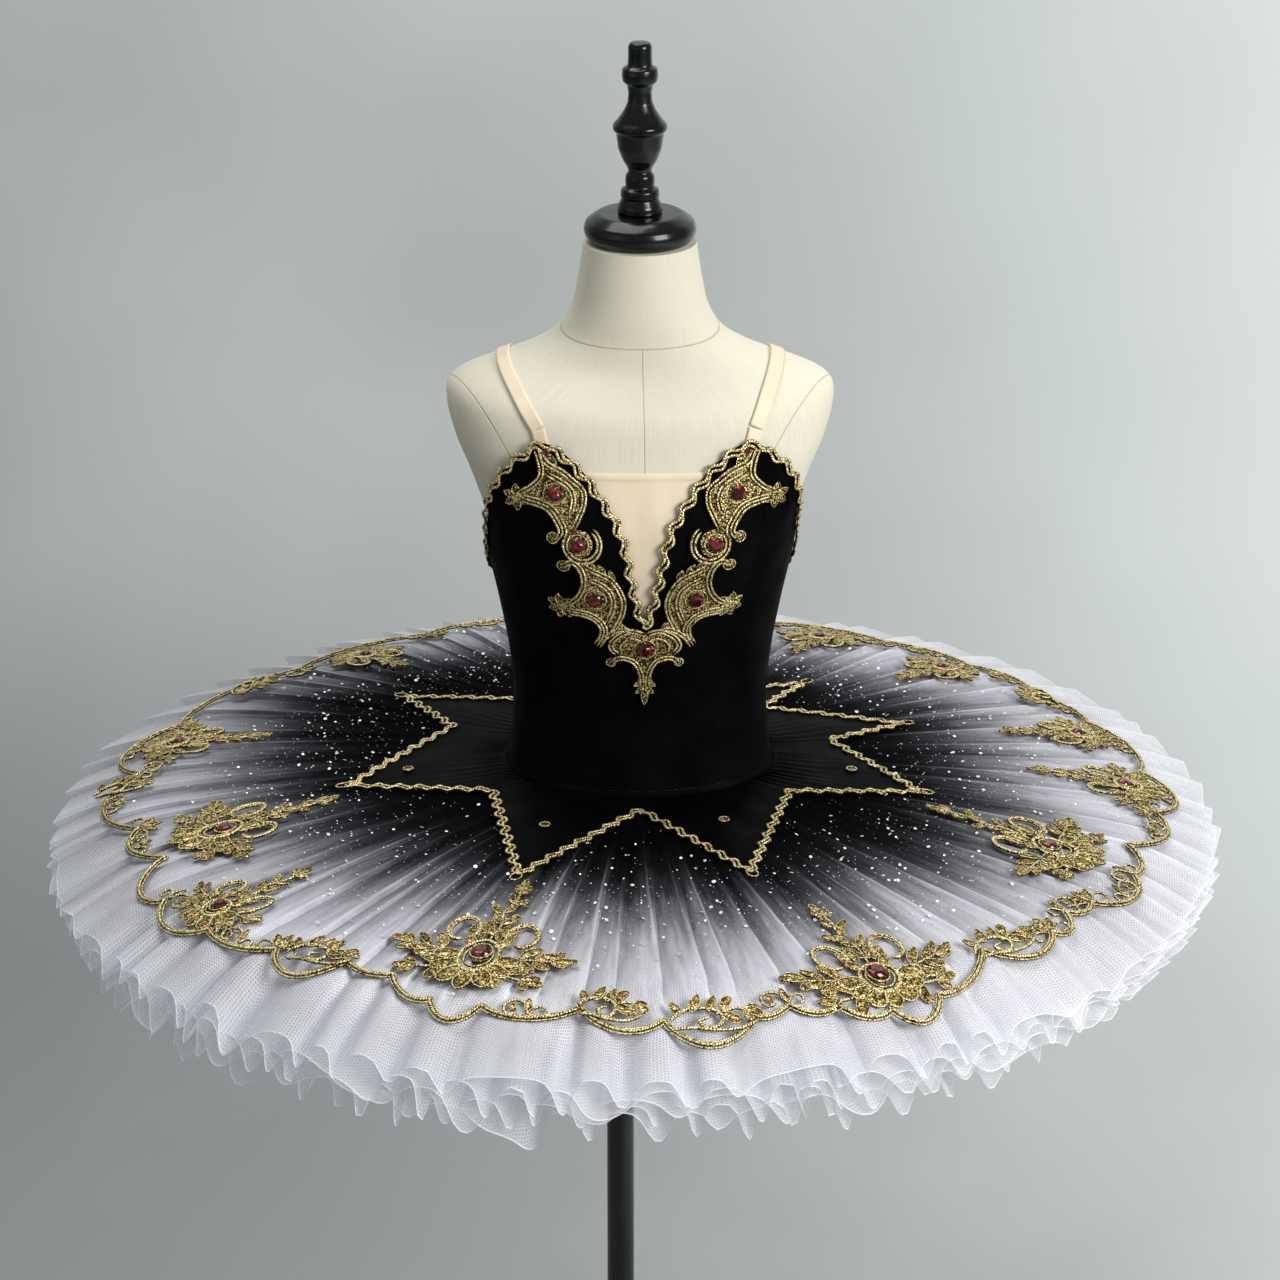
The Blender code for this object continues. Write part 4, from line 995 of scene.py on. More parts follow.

# %% [markdown]
# ## Gold thread
# All the trim is metal-wrapped yarn: twisted cords, and pads that are filled with tight knotted
# stitches. Three finishes share one group of colours, which paints shade where the yarn lies low
# and a highlight where it stands high. On a cord the UV map runs round and along it, so a slanted
# sine gives the twist, and its sides are painted dark as shade. On a pad small cells give the
# knots, and on a leaf soft streaks give its satin stitches.

# %% The gold group
def build_gold():
    """Colour and roughness of gold yarn: painted shade in its grooves, a painted highlight on its crowns."""
    tree, given, result = new_group(
        "gold_yarn", [("Position", "Vector", None), ("Crown", "Float", 0.5), ("Grain", "Float", 2.6)],
        [("Color", "Color"), ("Roughness", "Float"), ("Fuzz", "Float")])
    fibre = noise(tree, given["Position"], 620.0)
    batch = noise(tree, given["Position"], 32.0)
    # The crown sets the colour: painted shade in the grooves, a painted highlight on top
    base = times_plus(tree, given["Crown"], 0.70, 0.10)
    tone = stirred(tree, batch, 0.30, stirred(tree, fibre, given["Grain"], base))
    color = ramp(tree, tone, [(0.22, (0.014, 0.008, 0.002)), (0.41, (0.20, 0.120, 0.021)),
                              (0.60, (0.66, 0.465, 0.110)), (0.79, (1.0, 0.91, 0.54))])
    tree.links.new(color, result["Color"])
    tree.links.new(spread(tree, tone, 0.2, 0.8, 0.60, 0.24), result["Roughness"])
    tree.links.new(fibre, result["Fuzz"])
    return tree


gold_yarn = build_gold()


def gold_finish(tree, shader, height, strength, grain=2.6):
    """Finish a gold material from its relief, 0 in a groove and 1 on a crown; it paints shade and highlight
    too.
    """
    yarn = add_node(tree, "ShaderNodeGroup", {"Position": coordinates(tree), "Crown": height,
                                              "Grain": grain}, node_tree=gold_yarn).outputs
    relief = times_plus(tree, yarn["Fuzz"], 0.35, height)
    connect(tree, shader, {"Base Color": yarn["Color"], "Roughness": yarn["Roughness"],
                           "Normal": bump(tree, strength, 0.0006, relief), "Metallic": 0.50})


# %% Cord, pad and leaf finishes
TWIST_PITCH = 0.0024           # along a cord, from one strand to the next
gold_cord, tree, shader = new_material("gold_cord")
along = add_node(tree, "ShaderNodeSeparateXYZ", (coordinates(tree, "UV"),)).outputs
slant = calc(tree, "ADD", calc(tree, "DIVIDE", along[1], TWIST_PITCH), times(tree, along[0], 2.0))
strand = calc(tree, "ABSOLUTE", calc(tree, "SINE", times(tree, slant, math.pi)))
# The UV map starts at a cord's side, so that a quarter lies under it and three quarters on top
over = times(tree, calc(tree, "SINE", times(tree, along[0], math.tau)), -1.0)
rounded = spread(tree, over, 0.05, 0.75)
# The colour follows this relief: painted shade on the cord's sides and in its twist, a painted highlight on
# top
gold_finish(tree, shader, times(tree, rounded, times_plus(tree, strand, 0.6, 0.4)), 0.9)

KNOTS_PER_METRE = 640
gold_fill, tree, shader = new_material("gold_fill")
cells = {"Vector": coordinates(tree), "Scale": KNOTS_PER_METRE}
knots = add_node(tree, "ShaderNodeTexVoronoi", cells).outputs["Distance"]
# Painted shade between the knots and a painted highlight on their tops
gold_finish(tree, shader, spread(tree, knots, 0.15, 0.75, 0.85, 0.05), 0.9)
GOLD = [gold_cord, gold_fill]

# Leaves on the net are covered with straight satin stitches, smoother than the knots. Their streaks are
# painted highlight and shade, paler on the whole than the knots
gold_leaf, tree, shader = new_material("gold_leaf")
stitches = noise(tree, coordinates(tree), 260.0, 1.0)
gold_finish(tree, shader, spread(tree, stitches, 0.3, 0.7, 0.14, 0.76), 0.6, 1.8)
LEAF_GOLD = [gold_cord, gold_leaf]

# %% [markdown]
# ## Laying trim
# Trim is drawn flat, in millimetres from its stone, and then laid on what carries it. A ground is a
# function that takes flat points and a lift, and gives points and normals on the bodice or on the
# net. So one set of cords, petals and pads serves for both.

# %% Drawing tools
CURVE_STEPS = 8                # points on a drawn curve for each that is given


def flowing(points, closed=False):
    """A smooth curve through a few drawn points."""
    points = np.array(points, float)
    count = len(points)
    if closed:
        around = [points[(np.arange(count) + k) % count] for k in (-1, 0, 1, 2)]
    else:
        ends = np.concatenate(([2 * points[0] - points[1]], points, [2 * points[-1] - points[-2]]))
        around = [ends[k:count - 1 + k] for k in range(4)]
    t = (np.arange(CURVE_STEPS) / CURVE_STEPS)[None, :, None]
    a, b, c, d = (part[:, None] for part in around)
    curve = 0.5 * (2 * b + (c - a) * t + (2 * a - 5 * b + 4 * c - d) * t ** 2
                   + (3 * b - a - 3 * c + d) * t ** 3)
    curve = curve.reshape(-1, points.shape[1])
    return curve if closed else np.concatenate((curve, points[-1:]))


def paced(points, step, closed=False):
    """The same line, with points at even steps along it."""
    line = np.concatenate((points, points[:1])) if closed else points
    along = run_length(line)
    count = max(4, int(round(along[-1] / step)))
    places = np.linspace(0, along[-1], count + 1)
    even = np.stack([np.interp(places, along, line[:, k]) for k in range(line.shape[1])], -1)
    return even[:-1] if closed else even


def beside(points, distance, closed=False):
    """A flat line moved sideways, to the left of its direction."""
    tangent = heading(points, closed)
    return points + np.stack((-tangent[:, 1], tangent[:, 0]), -1) * distance


def on_plan(azimuth, radius):
    """Flat points seen from above, measured from the form's axis."""
    turn = np.radians(azimuth)
    return np.stack((radius * np.sin(turn), -radius * np.cos(turn)), -1)


def from_plan(flat):
    """The azimuth and radius of such points."""
    return np.degrees(np.arctan2(flat[:, 0], -flat[:, 1])), np.hypot(flat[:, 0], flat[:, 1])


def circle(radius, count, tall=None):
    """Flat points round a circle, or round an ellipse as tall as given."""
    turn = np.linspace(0, math.tau, count, endpoint=False)
    return np.stack((np.cos(turn) * radius, np.sin(turn) * (radius if tall is None else tall)), -1)


def sided(side, *points):
    """Flat points as drawn, or mirrored where the side is -1."""
    return np.array(points, float) * [side, 1]


def calmed(points, weights):
    """A closed flat line with its corners rounded by a running mean."""
    reach = len(weights) // 2
    padded = np.concatenate((points[-reach:], points, points[:reach]))
    return np.stack([np.convolve(padded[:, k], weights / weights.sum(), "valid") for k in (0, 1)], -1)


def bodice_ground(azimuth, height, side):
    """Flat millimetres onto the bodice: across is away from the centre front, up is up."""
    radius = float(form_radius(azimuth, height))

    def place(flat, lift):
        turned = side * azimuth + np.degrees(side * flat[:, 0] / 1000 / radius)
        risen = height + flat[:, 1] / 1000
        return worn_point(turned, risen, TRIM_OUT + lift / 1000), form_normal(turned + BODICE_TURN, risen)
    return place


# %% Cords, petals and pads
PETAL_STEPS = 9
PETAL_SIDES = 7
PETAL_EDGE = 1.1               # its edge cord's least width


def cord_on(place, drawn, width, height, lift, closed=False, ends=0.0, sides=6, step=1.6):
    """A cord laid along a drawn line. Its ends narrow over the share given."""
    flat = paced(np.array(drawn, float), step, closed)
    share = np.linspace(0, 1, len(flat))
    taper = np.ones(len(flat))
    if ends and not closed:
        taper = np.clip(np.minimum(share, 1 - share) / ends, 0.12, 1) ** 0.6
    points, normals = place(flat, np.full(len(flat), float(lift)))
    return tube_patch(points, normals, width / 1000 * taper, height / 1000 * taper, sides, closed)


def petal_on(place, foot, tip, width, height, lift, bend=0.0, blunt=False):
    """A padded petal or leaf, with its edge cord."""
    foot = np.array(foot, float)
    tip = np.array(tip, float)
    run = tip - foot
    side = np.array([-run[1], run[0]])
    t = np.linspace(0, 1, PETAL_STEPS)[:, None]
    middle = foot + run * t + side * bend * np.sin(np.pi * t)
    if blunt:
        swell = np.clip(1 - np.abs(2 * t[:, 0] ** 1.15 - 1) ** 2.6, 0.06, 1) ** 0.5
    else:
        swell = np.clip(np.sin(np.pi * t[:, 0] ** 0.8), 0.10, 1) ** 0.75
    points, normals = place(middle, np.full(PETAL_STEPS, float(lift)))
    body = tube_patch(points, normals, width / 1000 * swell, height / 1000 * np.sqrt(swell), PETAL_SIDES)
    half = (beside(middle, 1.0) - middle) * (width * 0.46 * swell)[:, None]
    edge = np.concatenate((middle + half, (middle - half)[::-1]))
    edging = cord_on(place, edge, max(PETAL_EDGE, width * 0.15), 1.2, lift + height * 0.30, closed=True,
                     sides=5, step=2.1)
    return [patch._replace(finish=1) for patch in body] + edging


def inside_outline(points, edge):
    """True for the flat points that lie within a closed line, by counting the crossings."""
    start, end = edge, np.roll(edge, -1, 0)
    crossing = (start[None, :, 1] > points[:, None, 1]) != (end[None, :, 1] > points[:, None, 1])
    run = end - start
    reach = start[:, 0] + (points[:, None, 1] - start[:, 1]) * run[:, 0] / (run[:, 1] + 1e-12)
    return (crossing & (reach > points[:, None, 0])).sum(1) % 2 == 1


def pad_on(place, outline, spacing=2.2, rise=1.3):
    """A filled pad with a soft edge: flat below, pillowed above."""
    foot, edge_height, softness = -0.2, 0.5, 1.8
    edge = paced(flowing(outline, True), spacing, True)
    low, high = edge.min(0), edge.max(0)
    xs, ys = np.meshgrid(np.arange(low[0], high[0], spacing), np.arange(low[1], high[1], spacing))
    shifted = xs.ravel() + (np.round(ys.ravel() / spacing) % 2) * spacing / 2
    inner = np.stack((shifted, ys.ravel()), -1)
    away = np.linalg.norm(inner[:, None] - edge[None], axis=2).min(1)
    inner = inner[inside_outline(inner, edge) & (away > spacing * 0.6)]
    flat = np.concatenate((edge, inner))
    cut = delaunay_2d_cdt([Vector(p) for p in flat], [], [list(range(len(edge)))], 1, 1e-6)
    flat = np.array([tuple(p) for p in cut[0]])
    faces = np.array([face for face in cut[2] if len(face) == 3])
    corners = flat[faces]
    turn = np.cross(corners[:, 1] - corners[:, 0], corners[:, 2] - corners[:, 0])
    faces = np.where((turn > 0)[:, None], faces, faces[:, ::-1])
    depth = np.linalg.norm(flat[:, None] - edge[None], axis=2).min(1)
    top, normals = place(flat, foot + edge_height + rise * (1 - np.exp(-depth / softness)))
    bottom, _ = place(flat, np.full(len(flat), float(foot)))
    a, b, c = faces[0]
    if np.cross(top[b] - top[a], top[c] - top[a]) @ normals[a] < 0:
        faces = faces[:, ::-1]
    uv = flat / 1000
    count = len(flat)
    sides = np.concatenate([faces[:, [0, 1]], faces[:, [1, 2]], faces[:, [2, 0]]])
    known = {(a, b) for a, b in sides.tolist()}
    rim = np.array([(a, b) for a, b in known if (b, a) not in known])
    walls = np.stack((rim[:, 1], rim[:, 0], rim[:, 0] + count, rim[:, 1] + count), -1)
    # The under side and the walls use the first patch's points, so their faces count back to them
    none = np.zeros((0, 3))
    return [Patch(np.concatenate((top, bottom)), faces, uv[faces], 1),
            Patch(none, faces[:, ::-1] - count, uv[faces[:, ::-1]], 1),
            Patch(none, walls - 2 * count, np.concatenate((uv, uv))[walls], 1)]


def band_on(place, drawn, cords=3):
    """Parallel cords that follow one line, the middle ones a little higher."""
    spacing = 2.9
    line = paced(flowing(drawn), 1.6)
    patches = []
    for k in range(cords):
        away = (k - (cords - 1) / 2) * spacing
        crown = 1 - abs(away) / (cords * spacing)
        patches += cord_on(place, beside(line, away), 2.5, 2.9, 1.7 + 0.8 * crown, ends=0.08, step=1.7)
    return patches


def ball_on(place, centre, radius, lift=1.6):
    """A wound knot: a small cushion with a cord round it."""
    ring = np.array(centre) + circle(radius, 12)
    return (pad_on(place, ring[::2], spacing=1.6, rise=radius * 0.55)
            + cord_on(place, ring, 1.5, 1.5, lift, closed=True, step=1.4))


def flower_on(place, centre, radius, petals, start):
    """Petals round a knot, the first of them at an angle."""
    centre = np.array(centre, float)
    patches = []
    for i in range(petals):
        angle = math.radians(start + 360 * i / petals)
        away = np.array((math.cos(angle), math.sin(angle)))
        patches += petal_on(place, centre + away * radius * 0.08, centre + away * radius,
                            radius * 0.62, 3.0, 1.0)
    return patches + ball_on(place, centre, radius * 0.28, 2.2)


# %% [markdown]
# ## Braid on the neckline
# The braid is one cord folded beside itself, which waves as it goes: two parallel twisted cords that
# swing together to either side of the edge. It starts and ends at the hooks of the centre back.

# %% Waved double braid
BRAID_WIDTH = 0.0070
BRAID_SPREAD = 0.0037          # between the two cords' middles
BRAID_CORD = 0.0031
BRAID_WAVE = 0.0023
BRAID_PITCH = 0.0200
BRAID_STEP = 0.00135
METRES_PER_DEGREE = 0.0021     # along the neckline, about
SOFTENING = [0.12, 0.22, 0.32, 0.22, 0.12]


def braid_patches(path, normals, closed=False, pitch=BRAID_PITCH):
    """Two cords that wave together along a path."""
    along = run_length(path)
    if closed:
        whole = along[-1] + np.linalg.norm(path[0] - path[-1])
        pitch = whole / round(whole / pitch)
    across = unit(np.cross(heading(path, closed), normals))
    patches = []
    for side in (-1, 1):
        swing = BRAID_WAVE * np.sin(math.tau * along / pitch + side * 0.35)
        rise = 0.0004 * np.sin(math.tau * along / pitch * 2 + side * 1.2)
        laid = path + across * (swing + side * BRAID_SPREAD / 2)[:, None] + normals * rise[:, None]
        patches += tube_patch(laid, normals, BRAID_CORD, BRAID_CORD * 0.84, 7, closed)
    return patches


# %% Neckline braid
reach = 180 - CENTRE_BACK_GAP * 2
azimuth = np.linspace(-reach, reach, 2400)
route = np.stack((azimuth, neckline_height(azimuth) - BRAID_WIDTH * 0.35), -1)
even = paced(route * [METRES_PER_DEGREE, 1], BRAID_STEP) / [METRES_PER_DEGREE, 1]
soft = np.stack([np.convolve(np.pad(even[:, k], 2, "edge"), SOFTENING, "valid") for k in (0, 1)], -1)
path = worn_point(soft[:, 0], soft[:, 1], TRIM_OUT + TRIM / 2)
normals = form_normal(soft[:, 0] + BODICE_TURN, soft[:, 1])
braid = new_piece("neckline_braid_gold", braid_patches(path, normals), gold_cord)
seat(braid, "gold_thread", "neckline_braid")

# %% [markdown]
# ## Raised gold pieces on the bodice
# Seven pieces run down each side of the V and meet below it. Each is a padded shape edged with
# several cords side by side, with a flower, a curled end and a glass stone in a corded ring. They
# are common scroll and leaf forms, drawn here from a few points each.

# %% Outlines in millimetres from each stone
UPPER_PAD = [(19, 33), (14, 22), (13, 12), (21, 3), (30, -3), (22, -9), (11, -11), (1, -17), (-7, -27),
             (-14, -34), (-19, -29), (-24, -18), (-26, -6), (-23, 5), (-13, 13), (-4, 20), (9, 25)]
LOWER_PAD = [(20, 32), (12, 31), (10, 20), (13, 8), (20, -3), (29, -9), (20, -14), (8, -16), (-1, -22),
             (-4, -33), (1, -44), (-7, -38), (-15, -29), (-22, -17), (-24, -2), (-19, 12), (-10, 22),
             (1, 28), (10, 35)]
CENTRE_HALF = [(12, 17), (24, 10), (28, 2), (23, -6), (28, -14), (21, -12), (11, -16), (6, -26), (7, -38)]
CENTRE_PAD = [(0, 14), *CENTRE_HALF, (0, -52), *((-x, y) for x, y in reversed(CENTRE_HALF))]


def ring_round(place, radius, lift=1.7, width=1.6):
    return cord_on(place, circle(radius, 28), width, 1.8, lift, closed=True, step=1.2)


def upper_piece(place):
    patches = pad_on(place, UPPER_PAD)
    patches += band_on(place, [(20, 36), (15, 25), (13, 14), (19, 5), (27, -1)], 2)
    patches += band_on(place, [(26, -6), (14, -8), (3, -12), (-5, -21), (-10, -31), (-7, -38)])
    patches += band_on(place, [(17, 34), (10, 25), (-3, 19), (-13, 12), (-23, 4), (-25, -7), (-22, -18),
                               (-18, -29)], 2)
    patches += band_on(place, [(9, 17), (-1, 12), (-11, 6), (-16, -4), (-15, -16)], 2)
    patches += flower_on(place, (30, -6), 11.5, 6, 20)
    patches += ball_on(place, (-2, -37), 4.6)
    patches += petal_on(place, (2, 21), (16, 35), 5.2, 2.4, 1.4, 0.1)
    return patches + ring_round(place, 9.2)


def middle_piece(place):
    """Two open rings round a small pad."""
    turn = np.radians(np.linspace(40, -236, 30))
    patches = pad_on(place, circle(12, 12), rise=0.9)
    for radius in (15.4, 12.2):
        arc = np.stack((-4.0 + radius * np.cos(turn), radius * np.sin(turn) * 1.05), -1)
        patches += cord_on(place, arc, 2.7, 3.0, 1.8, ends=0.06)
    return patches + ring_round(place, 8.6)


def lower_piece(place):
    patches = pad_on(place, LOWER_PAD)
    patches += band_on(place, [(23, 31), (15, 35), (9, 27), (8, 16), (12, 5), (19, -3), (27, -7)], 2)
    patches += band_on(place, [(24, -13), (12, -14), (2, -18), (-5, -27), (-4, -37), (2, -46)])
    patches += band_on(place, [(6, 31), (-3, 26), (-13, 20), (-20, 10), (-24, -2), (-22, -15), (-16, -27),
                               (-10, -36)], 2)
    patches += band_on(place, [(3, 20), (-6, 15), (-13, 7), (-15, -4), (-12, -15), (-8, -23)], 2)
    patches += flower_on(place, (29, -9), 12.0, 7, -20)
    patches += ball_on(place, (22, 31), 4.6)
    for foot, tip in (((-2, 29), (6, 36)), ((-9, 25), (-3, 33)), ((-16, 19), (-12, 28))):
        patches += petal_on(place, foot, tip, 4.6, 2.0, 1.2)
    return patches + ring_round(place, 9.0)


def centre_piece(place):
    """The same half drawn twice, once to each side."""
    patches = pad_on(place, CENTRE_PAD)
    for side in (1, -1):
        patches += band_on(place, sided(side, (29, -15), (22, -9), (11, -11), (5, -19), (2.5, -30),
                                        (2.5, -38)), 2)
        patches += band_on(place, sided(side, (1, 15), (12, 18), (24, 11), (28, 2), (23, -5)), 2)
        patches += band_on(place, sided(side, (3, 9), (12, 11), (20, 4), (19, -3)), 1)
        patches += band_on(place, sided(side, (12, 19), (21, 19), (30, 13), (37, 6)), 2)
        patches += petal_on(place, *sided(side, (14, 18), (24, 28)), 7.0, 2.6, 1.4, 0.1)
        patches += petal_on(place, *sided(side, (4, 14), (17, 10)), 5.4, 2.4, 1.4, 0.12)
        patches += petal_on(place, *sided(side, (2, -32), (9.5, -37)), 4.6, 2.2, 1.2)
        patches += petal_on(place, *sided(side, (1, -38), (8, -44)), 4.6, 2.2, 1.2)
        patches += ball_on(place, sided(side, (29, -14))[0], 3.8)
    patches += petal_on(place, (0, -40), (0, -55), 6.6, 2.6, 1.3)
    return patches + ring_round(place, 9.0)


# %% Sew them on
SPOTS = table("name azimuth height side draw",
              ("upper_right", 39.5, 1.2205, 1, upper_piece),
              ("middle_right", 29.0, 1.179, 1, middle_piece),
              ("lower_right", 23.0, 1.129, 1, lower_piece),
              ("upper_left", 39.5, 1.2205, -1, upper_piece),
              ("middle_left", 29.0, 1.179, -1, middle_piece),
              ("lower_left", 23.0, 1.129, -1, lower_piece),
              ("centre", 0.0, 1.0805, 1, centre_piece))
stone_spots = []
for spot in SPOTS:
    place = bodice_ground(spot.azimuth, spot.height, spot.side)
    piece = new_piece("applique_" + spot.name + "_gold", spot.draw(place), GOLD)
    if spot.name != "centre":
        sharpen(piece, 70)
    seat(piece, "gold_thread", "applique_" + spot.name)
    stone_spots.append(("stone_" + spot.name, place))

# %% [markdown]
# ## Stones
# The stones are pressed glass with a foil back: a flat table, a ring of slanted facets and a rim
# that the setting thread holds. Flat faces make the facets flash one by one, so this piece is left
# unsmoothed. The colour lies deep, so the finish is a dark red metal-like base under a clear coat.

# %% Garnet glass
garnet, tree, shader = new_material("garnet_glass")
# Patches of the base colour, dark red to bright red, are painted reflections inside the glass
cells = {"Vector": coordinates(tree), "Scale": 330.0}
glint_cells = add_node(tree, "ShaderNodeTexVoronoi", cells).outputs["Color"]
flash = add_node(tree, "ShaderNodeSeparateColor", (glint_cells,)).outputs[0]
connect(tree, shader, {
    "Base Color": ramp(tree, flash, [(0.10, (0.020, 0.001, 0.001)), (0.60, (0.10, 0.002, 0.004)),
                                     (0.95, (0.34, 0.02, 0.025))]),
    "Roughness": spread(tree, flash, 0.0, 1.0, 0.10, 0.22),
    "Metallic": 0.45, "Coat Weight": 0.8, "Coat Roughness": 0.03})

# %% Cut stones
STONE_RADIUS = 0.0067
STONE_HEIGHT = 0.0042
PEAK_STONE = (12.0, 35.0)       # a small one under the braid of each peak, from the upper stone
PEAK_STONE_WIDE = 0.45         # its share of the others' radius and height
PEAK_STONE_HIGH = 0.6
STONE_LIFT = 2.6               # millimetres from the velvet or the net
PEAK_STONE_LIFT = 1.5
FACETS = 14
STONE_RINGS = table("share level shift",
                    (0.90, 0.0, 0), (1.0, 0.16, 0), (1.0, 0.30, 0), (0.82, 0.72, 0.5), (0.56, 1.0, 0))


def stone_patch(spot, normal, radius, height):
    """Rings of facets, from the foiled back to the table."""
    side = unit(np.cross(normal, (0.0, 0.0, 1.0)))
    forward = np.cross(normal, side)
    rows = []
    for ring in STONE_RINGS:
        turn = -math.tau * (np.arange(FACETS) + ring.shift) / FACETS
        away = np.cos(turn)[:, None] * side + np.sin(turn)[:, None] * forward
        rows.append(spot + away * radius * ring.share + normal * height * ring.level)
    around, outward = np.arange(FACETS + 1) / FACETS, np.arange(len(rows)) * 0.001
    body = grid_patch(np.array(rows)[::-1], around, outward, closed=True)
    # The body's first ring is the table's edge and its last the back's
    none = np.zeros((0, 3))
    flat = np.zeros((1, FACETS, 2))
    top = Patch(none, np.arange(FACETS)[None] - len(rows) * FACETS, flat)
    back = Patch(none, np.arange(FACETS)[::-1][None] - FACETS, flat)
    return [body, top, back]


for name, place in stone_spots:
    points, normals = place(np.zeros((1, 2)), np.full(1, STONE_LIFT))
    cut = stone_patch(points[0], normals[0], STONE_RADIUS, STONE_HEIGHT)
    if "upper" in name:
        small, normals = place(np.array([PEAK_STONE]), np.full(1, PEAK_STONE_LIFT))
        cut += stone_patch(small[0], normals[0], STONE_RADIUS * PEAK_STONE_WIDE,
                           STONE_HEIGHT * PEAK_STONE_HIGH)
    piece = new_piece(name + "_cut", cut, garnet, rounded=False)
    seat(piece, "garnet_glass", name)

# %% [markdown]
# ## The plate of net
# A pancake tutu stands out because many rows of stiff net are pleated, sewn to the yoke one below
# the other and tacked flat. Five layers are made here. Inside, the pleats are sharp and lie over
# each other like blades of a fan. At the front hem they are let go and roll into soft ruffles.
# Pleats repeat by a rule, so Geometry Nodes fold them: the script makes a flat ring with a number
# for every pleat and every ruffle, and one node tree folds all five rings with their own sizes.

# %% Plate surface
NET = 0.0010
PLATE_RADIUS = 0.522
RIM_SHIFT = 0.006
PLEAT_DEPTH = 0.0038
YOKE_STEP = 0.0105             # between the rows of net on the yoke
RIM_STEP = 0.0096              # between the layers at the rim
SEWN_RADIUS = 0.125
SEWN_CLEAR = 0.0011
FRONT_DROOP = 0.013
BACK_RISE = 0.012
TILT_START = 0.440
NET_CLEAR = SEAM_GAP + NET / 2
BORDER_CLEAR = LAID_GAP + SEAM_GAP / 2 + NET / 2
PLATE_ROWS = table("radius height",
                   (0.090, 0.9375), (0.150, 0.9335), (0.260, 0.9250), (0.380, 0.9110),
                   (0.460, 0.8975), (0.495, 0.8850), (0.530, 0.8690))


def plate_height(azimuth, radius):
    flat = read_table(PLATE_ROWS, "radius", "height", radius)
    turn = np.cos(np.radians(azimuth))
    tilt = np.where(turn > 0, FRONT_DROOP, BACK_RISE) * smoothstep(TILT_START, PLATE_RADIUS + 0.03, radius)
    return flat - tilt * turn


def rim_radius(azimuth):
    return PLATE_RADIUS - RIM_SHIFT * np.sin(np.radians(azimuth))


def pleat_rise(radius):
    return PLEAT_DEPTH * smoothstep(0.150, 0.500, radius)


def crest_point(azimuth, radius):
    return polar(azimuth, radius, plate_height(azimuth, radius) + pleat_rise(radius))


def plate_normal(azimuth, radius):
    along = crest_point(azimuth + 0.5, radius) - crest_point(azimuth - 0.5, radius)
    outward = crest_point(azimuth, radius + 0.001) - crest_point(azimuth, radius - 0.001)
    return unit(np.cross(outward, along))


def plate_point(azimuth, radius, lift):
    """A point on the surface through the pleats' crests, or moved off it."""
    azimuth, radius, lift = as_arrays(azimuth, radius, lift)
    return crest_point(azimuth, radius) + plate_normal(azimuth, radius) * lift[..., None]


def sewn_radius(azimuth, drop):
    height = plate_height(azimuth, SEWN_RADIUS) - drop - NET
    return form_radius(azimuth, height) + BODICE_OUT + CLOTH + SEWN_CLEAR


# %% [markdown]
# ### The pleating tree
# A blade rises slowly over three quarters of its width, passes over the next one by a little and
# drops back under itself. Its hem runs out and in with it, so that the rim shows a row of steps. A
# ruffle is a wide soft arch and a narrow fold under it, which closes as the net swings sideways.
# Where the ring is marked loose, ruffles take the place of blades. No two are the same size.

# %% Geometry Nodes: pleats
def field(tree, name, kind="FLOAT"):
    item = add_node(tree, "GeometryNodeInputNamedAttribute", {"Name": name}, data_type=kind)
    return item.outputs["Attribute"]


def new_growth(name, sizes, others):
    """A geometry tree and its inputs: the geometry, some sizes, then others with their kinds."""
    tree = bpy.data.node_groups.new(name, "GeometryNodeTree")
    tree.interface.new_socket("Geometry", in_out="OUTPUT", socket_type="NodeSocketGeometry")
    kinds = {"Geometry": "Geometry", **dict.fromkeys(sizes, "Float"), **others}
    for label, kind in kinds.items():
        tree.interface.new_socket(label, in_out="INPUT", socket_type="NodeSocket" + kind)
    return tree, tree.nodes.new("NodeGroupInput").outputs


def finish_growth(tree, shape, material):
    """Make what a tree has grown real, give it a material and send it out."""
    real = add_node(tree, "GeometryNodeRealizeInstances", {"Geometry": shape})
    covered = add_node(tree, "GeometryNodeSetMaterial", {"Geometry": real.outputs[0],
                                                         "Material": material})
    tree.links.new(covered.outputs[0], tree.nodes.new("NodeGroupOutput").inputs[0])
    return tree


def uneven(tree, number, seed, amount):
    """A size from 1 - amount to 1 for each pleat, by its whole number."""
    item = add_node(tree, "FunctionNodeRandomValue", {"ID": number, "Seed": seed}, data_type="FLOAT")
    return minus(tree, 1.0, times(tree, item.outputs[1], amount))


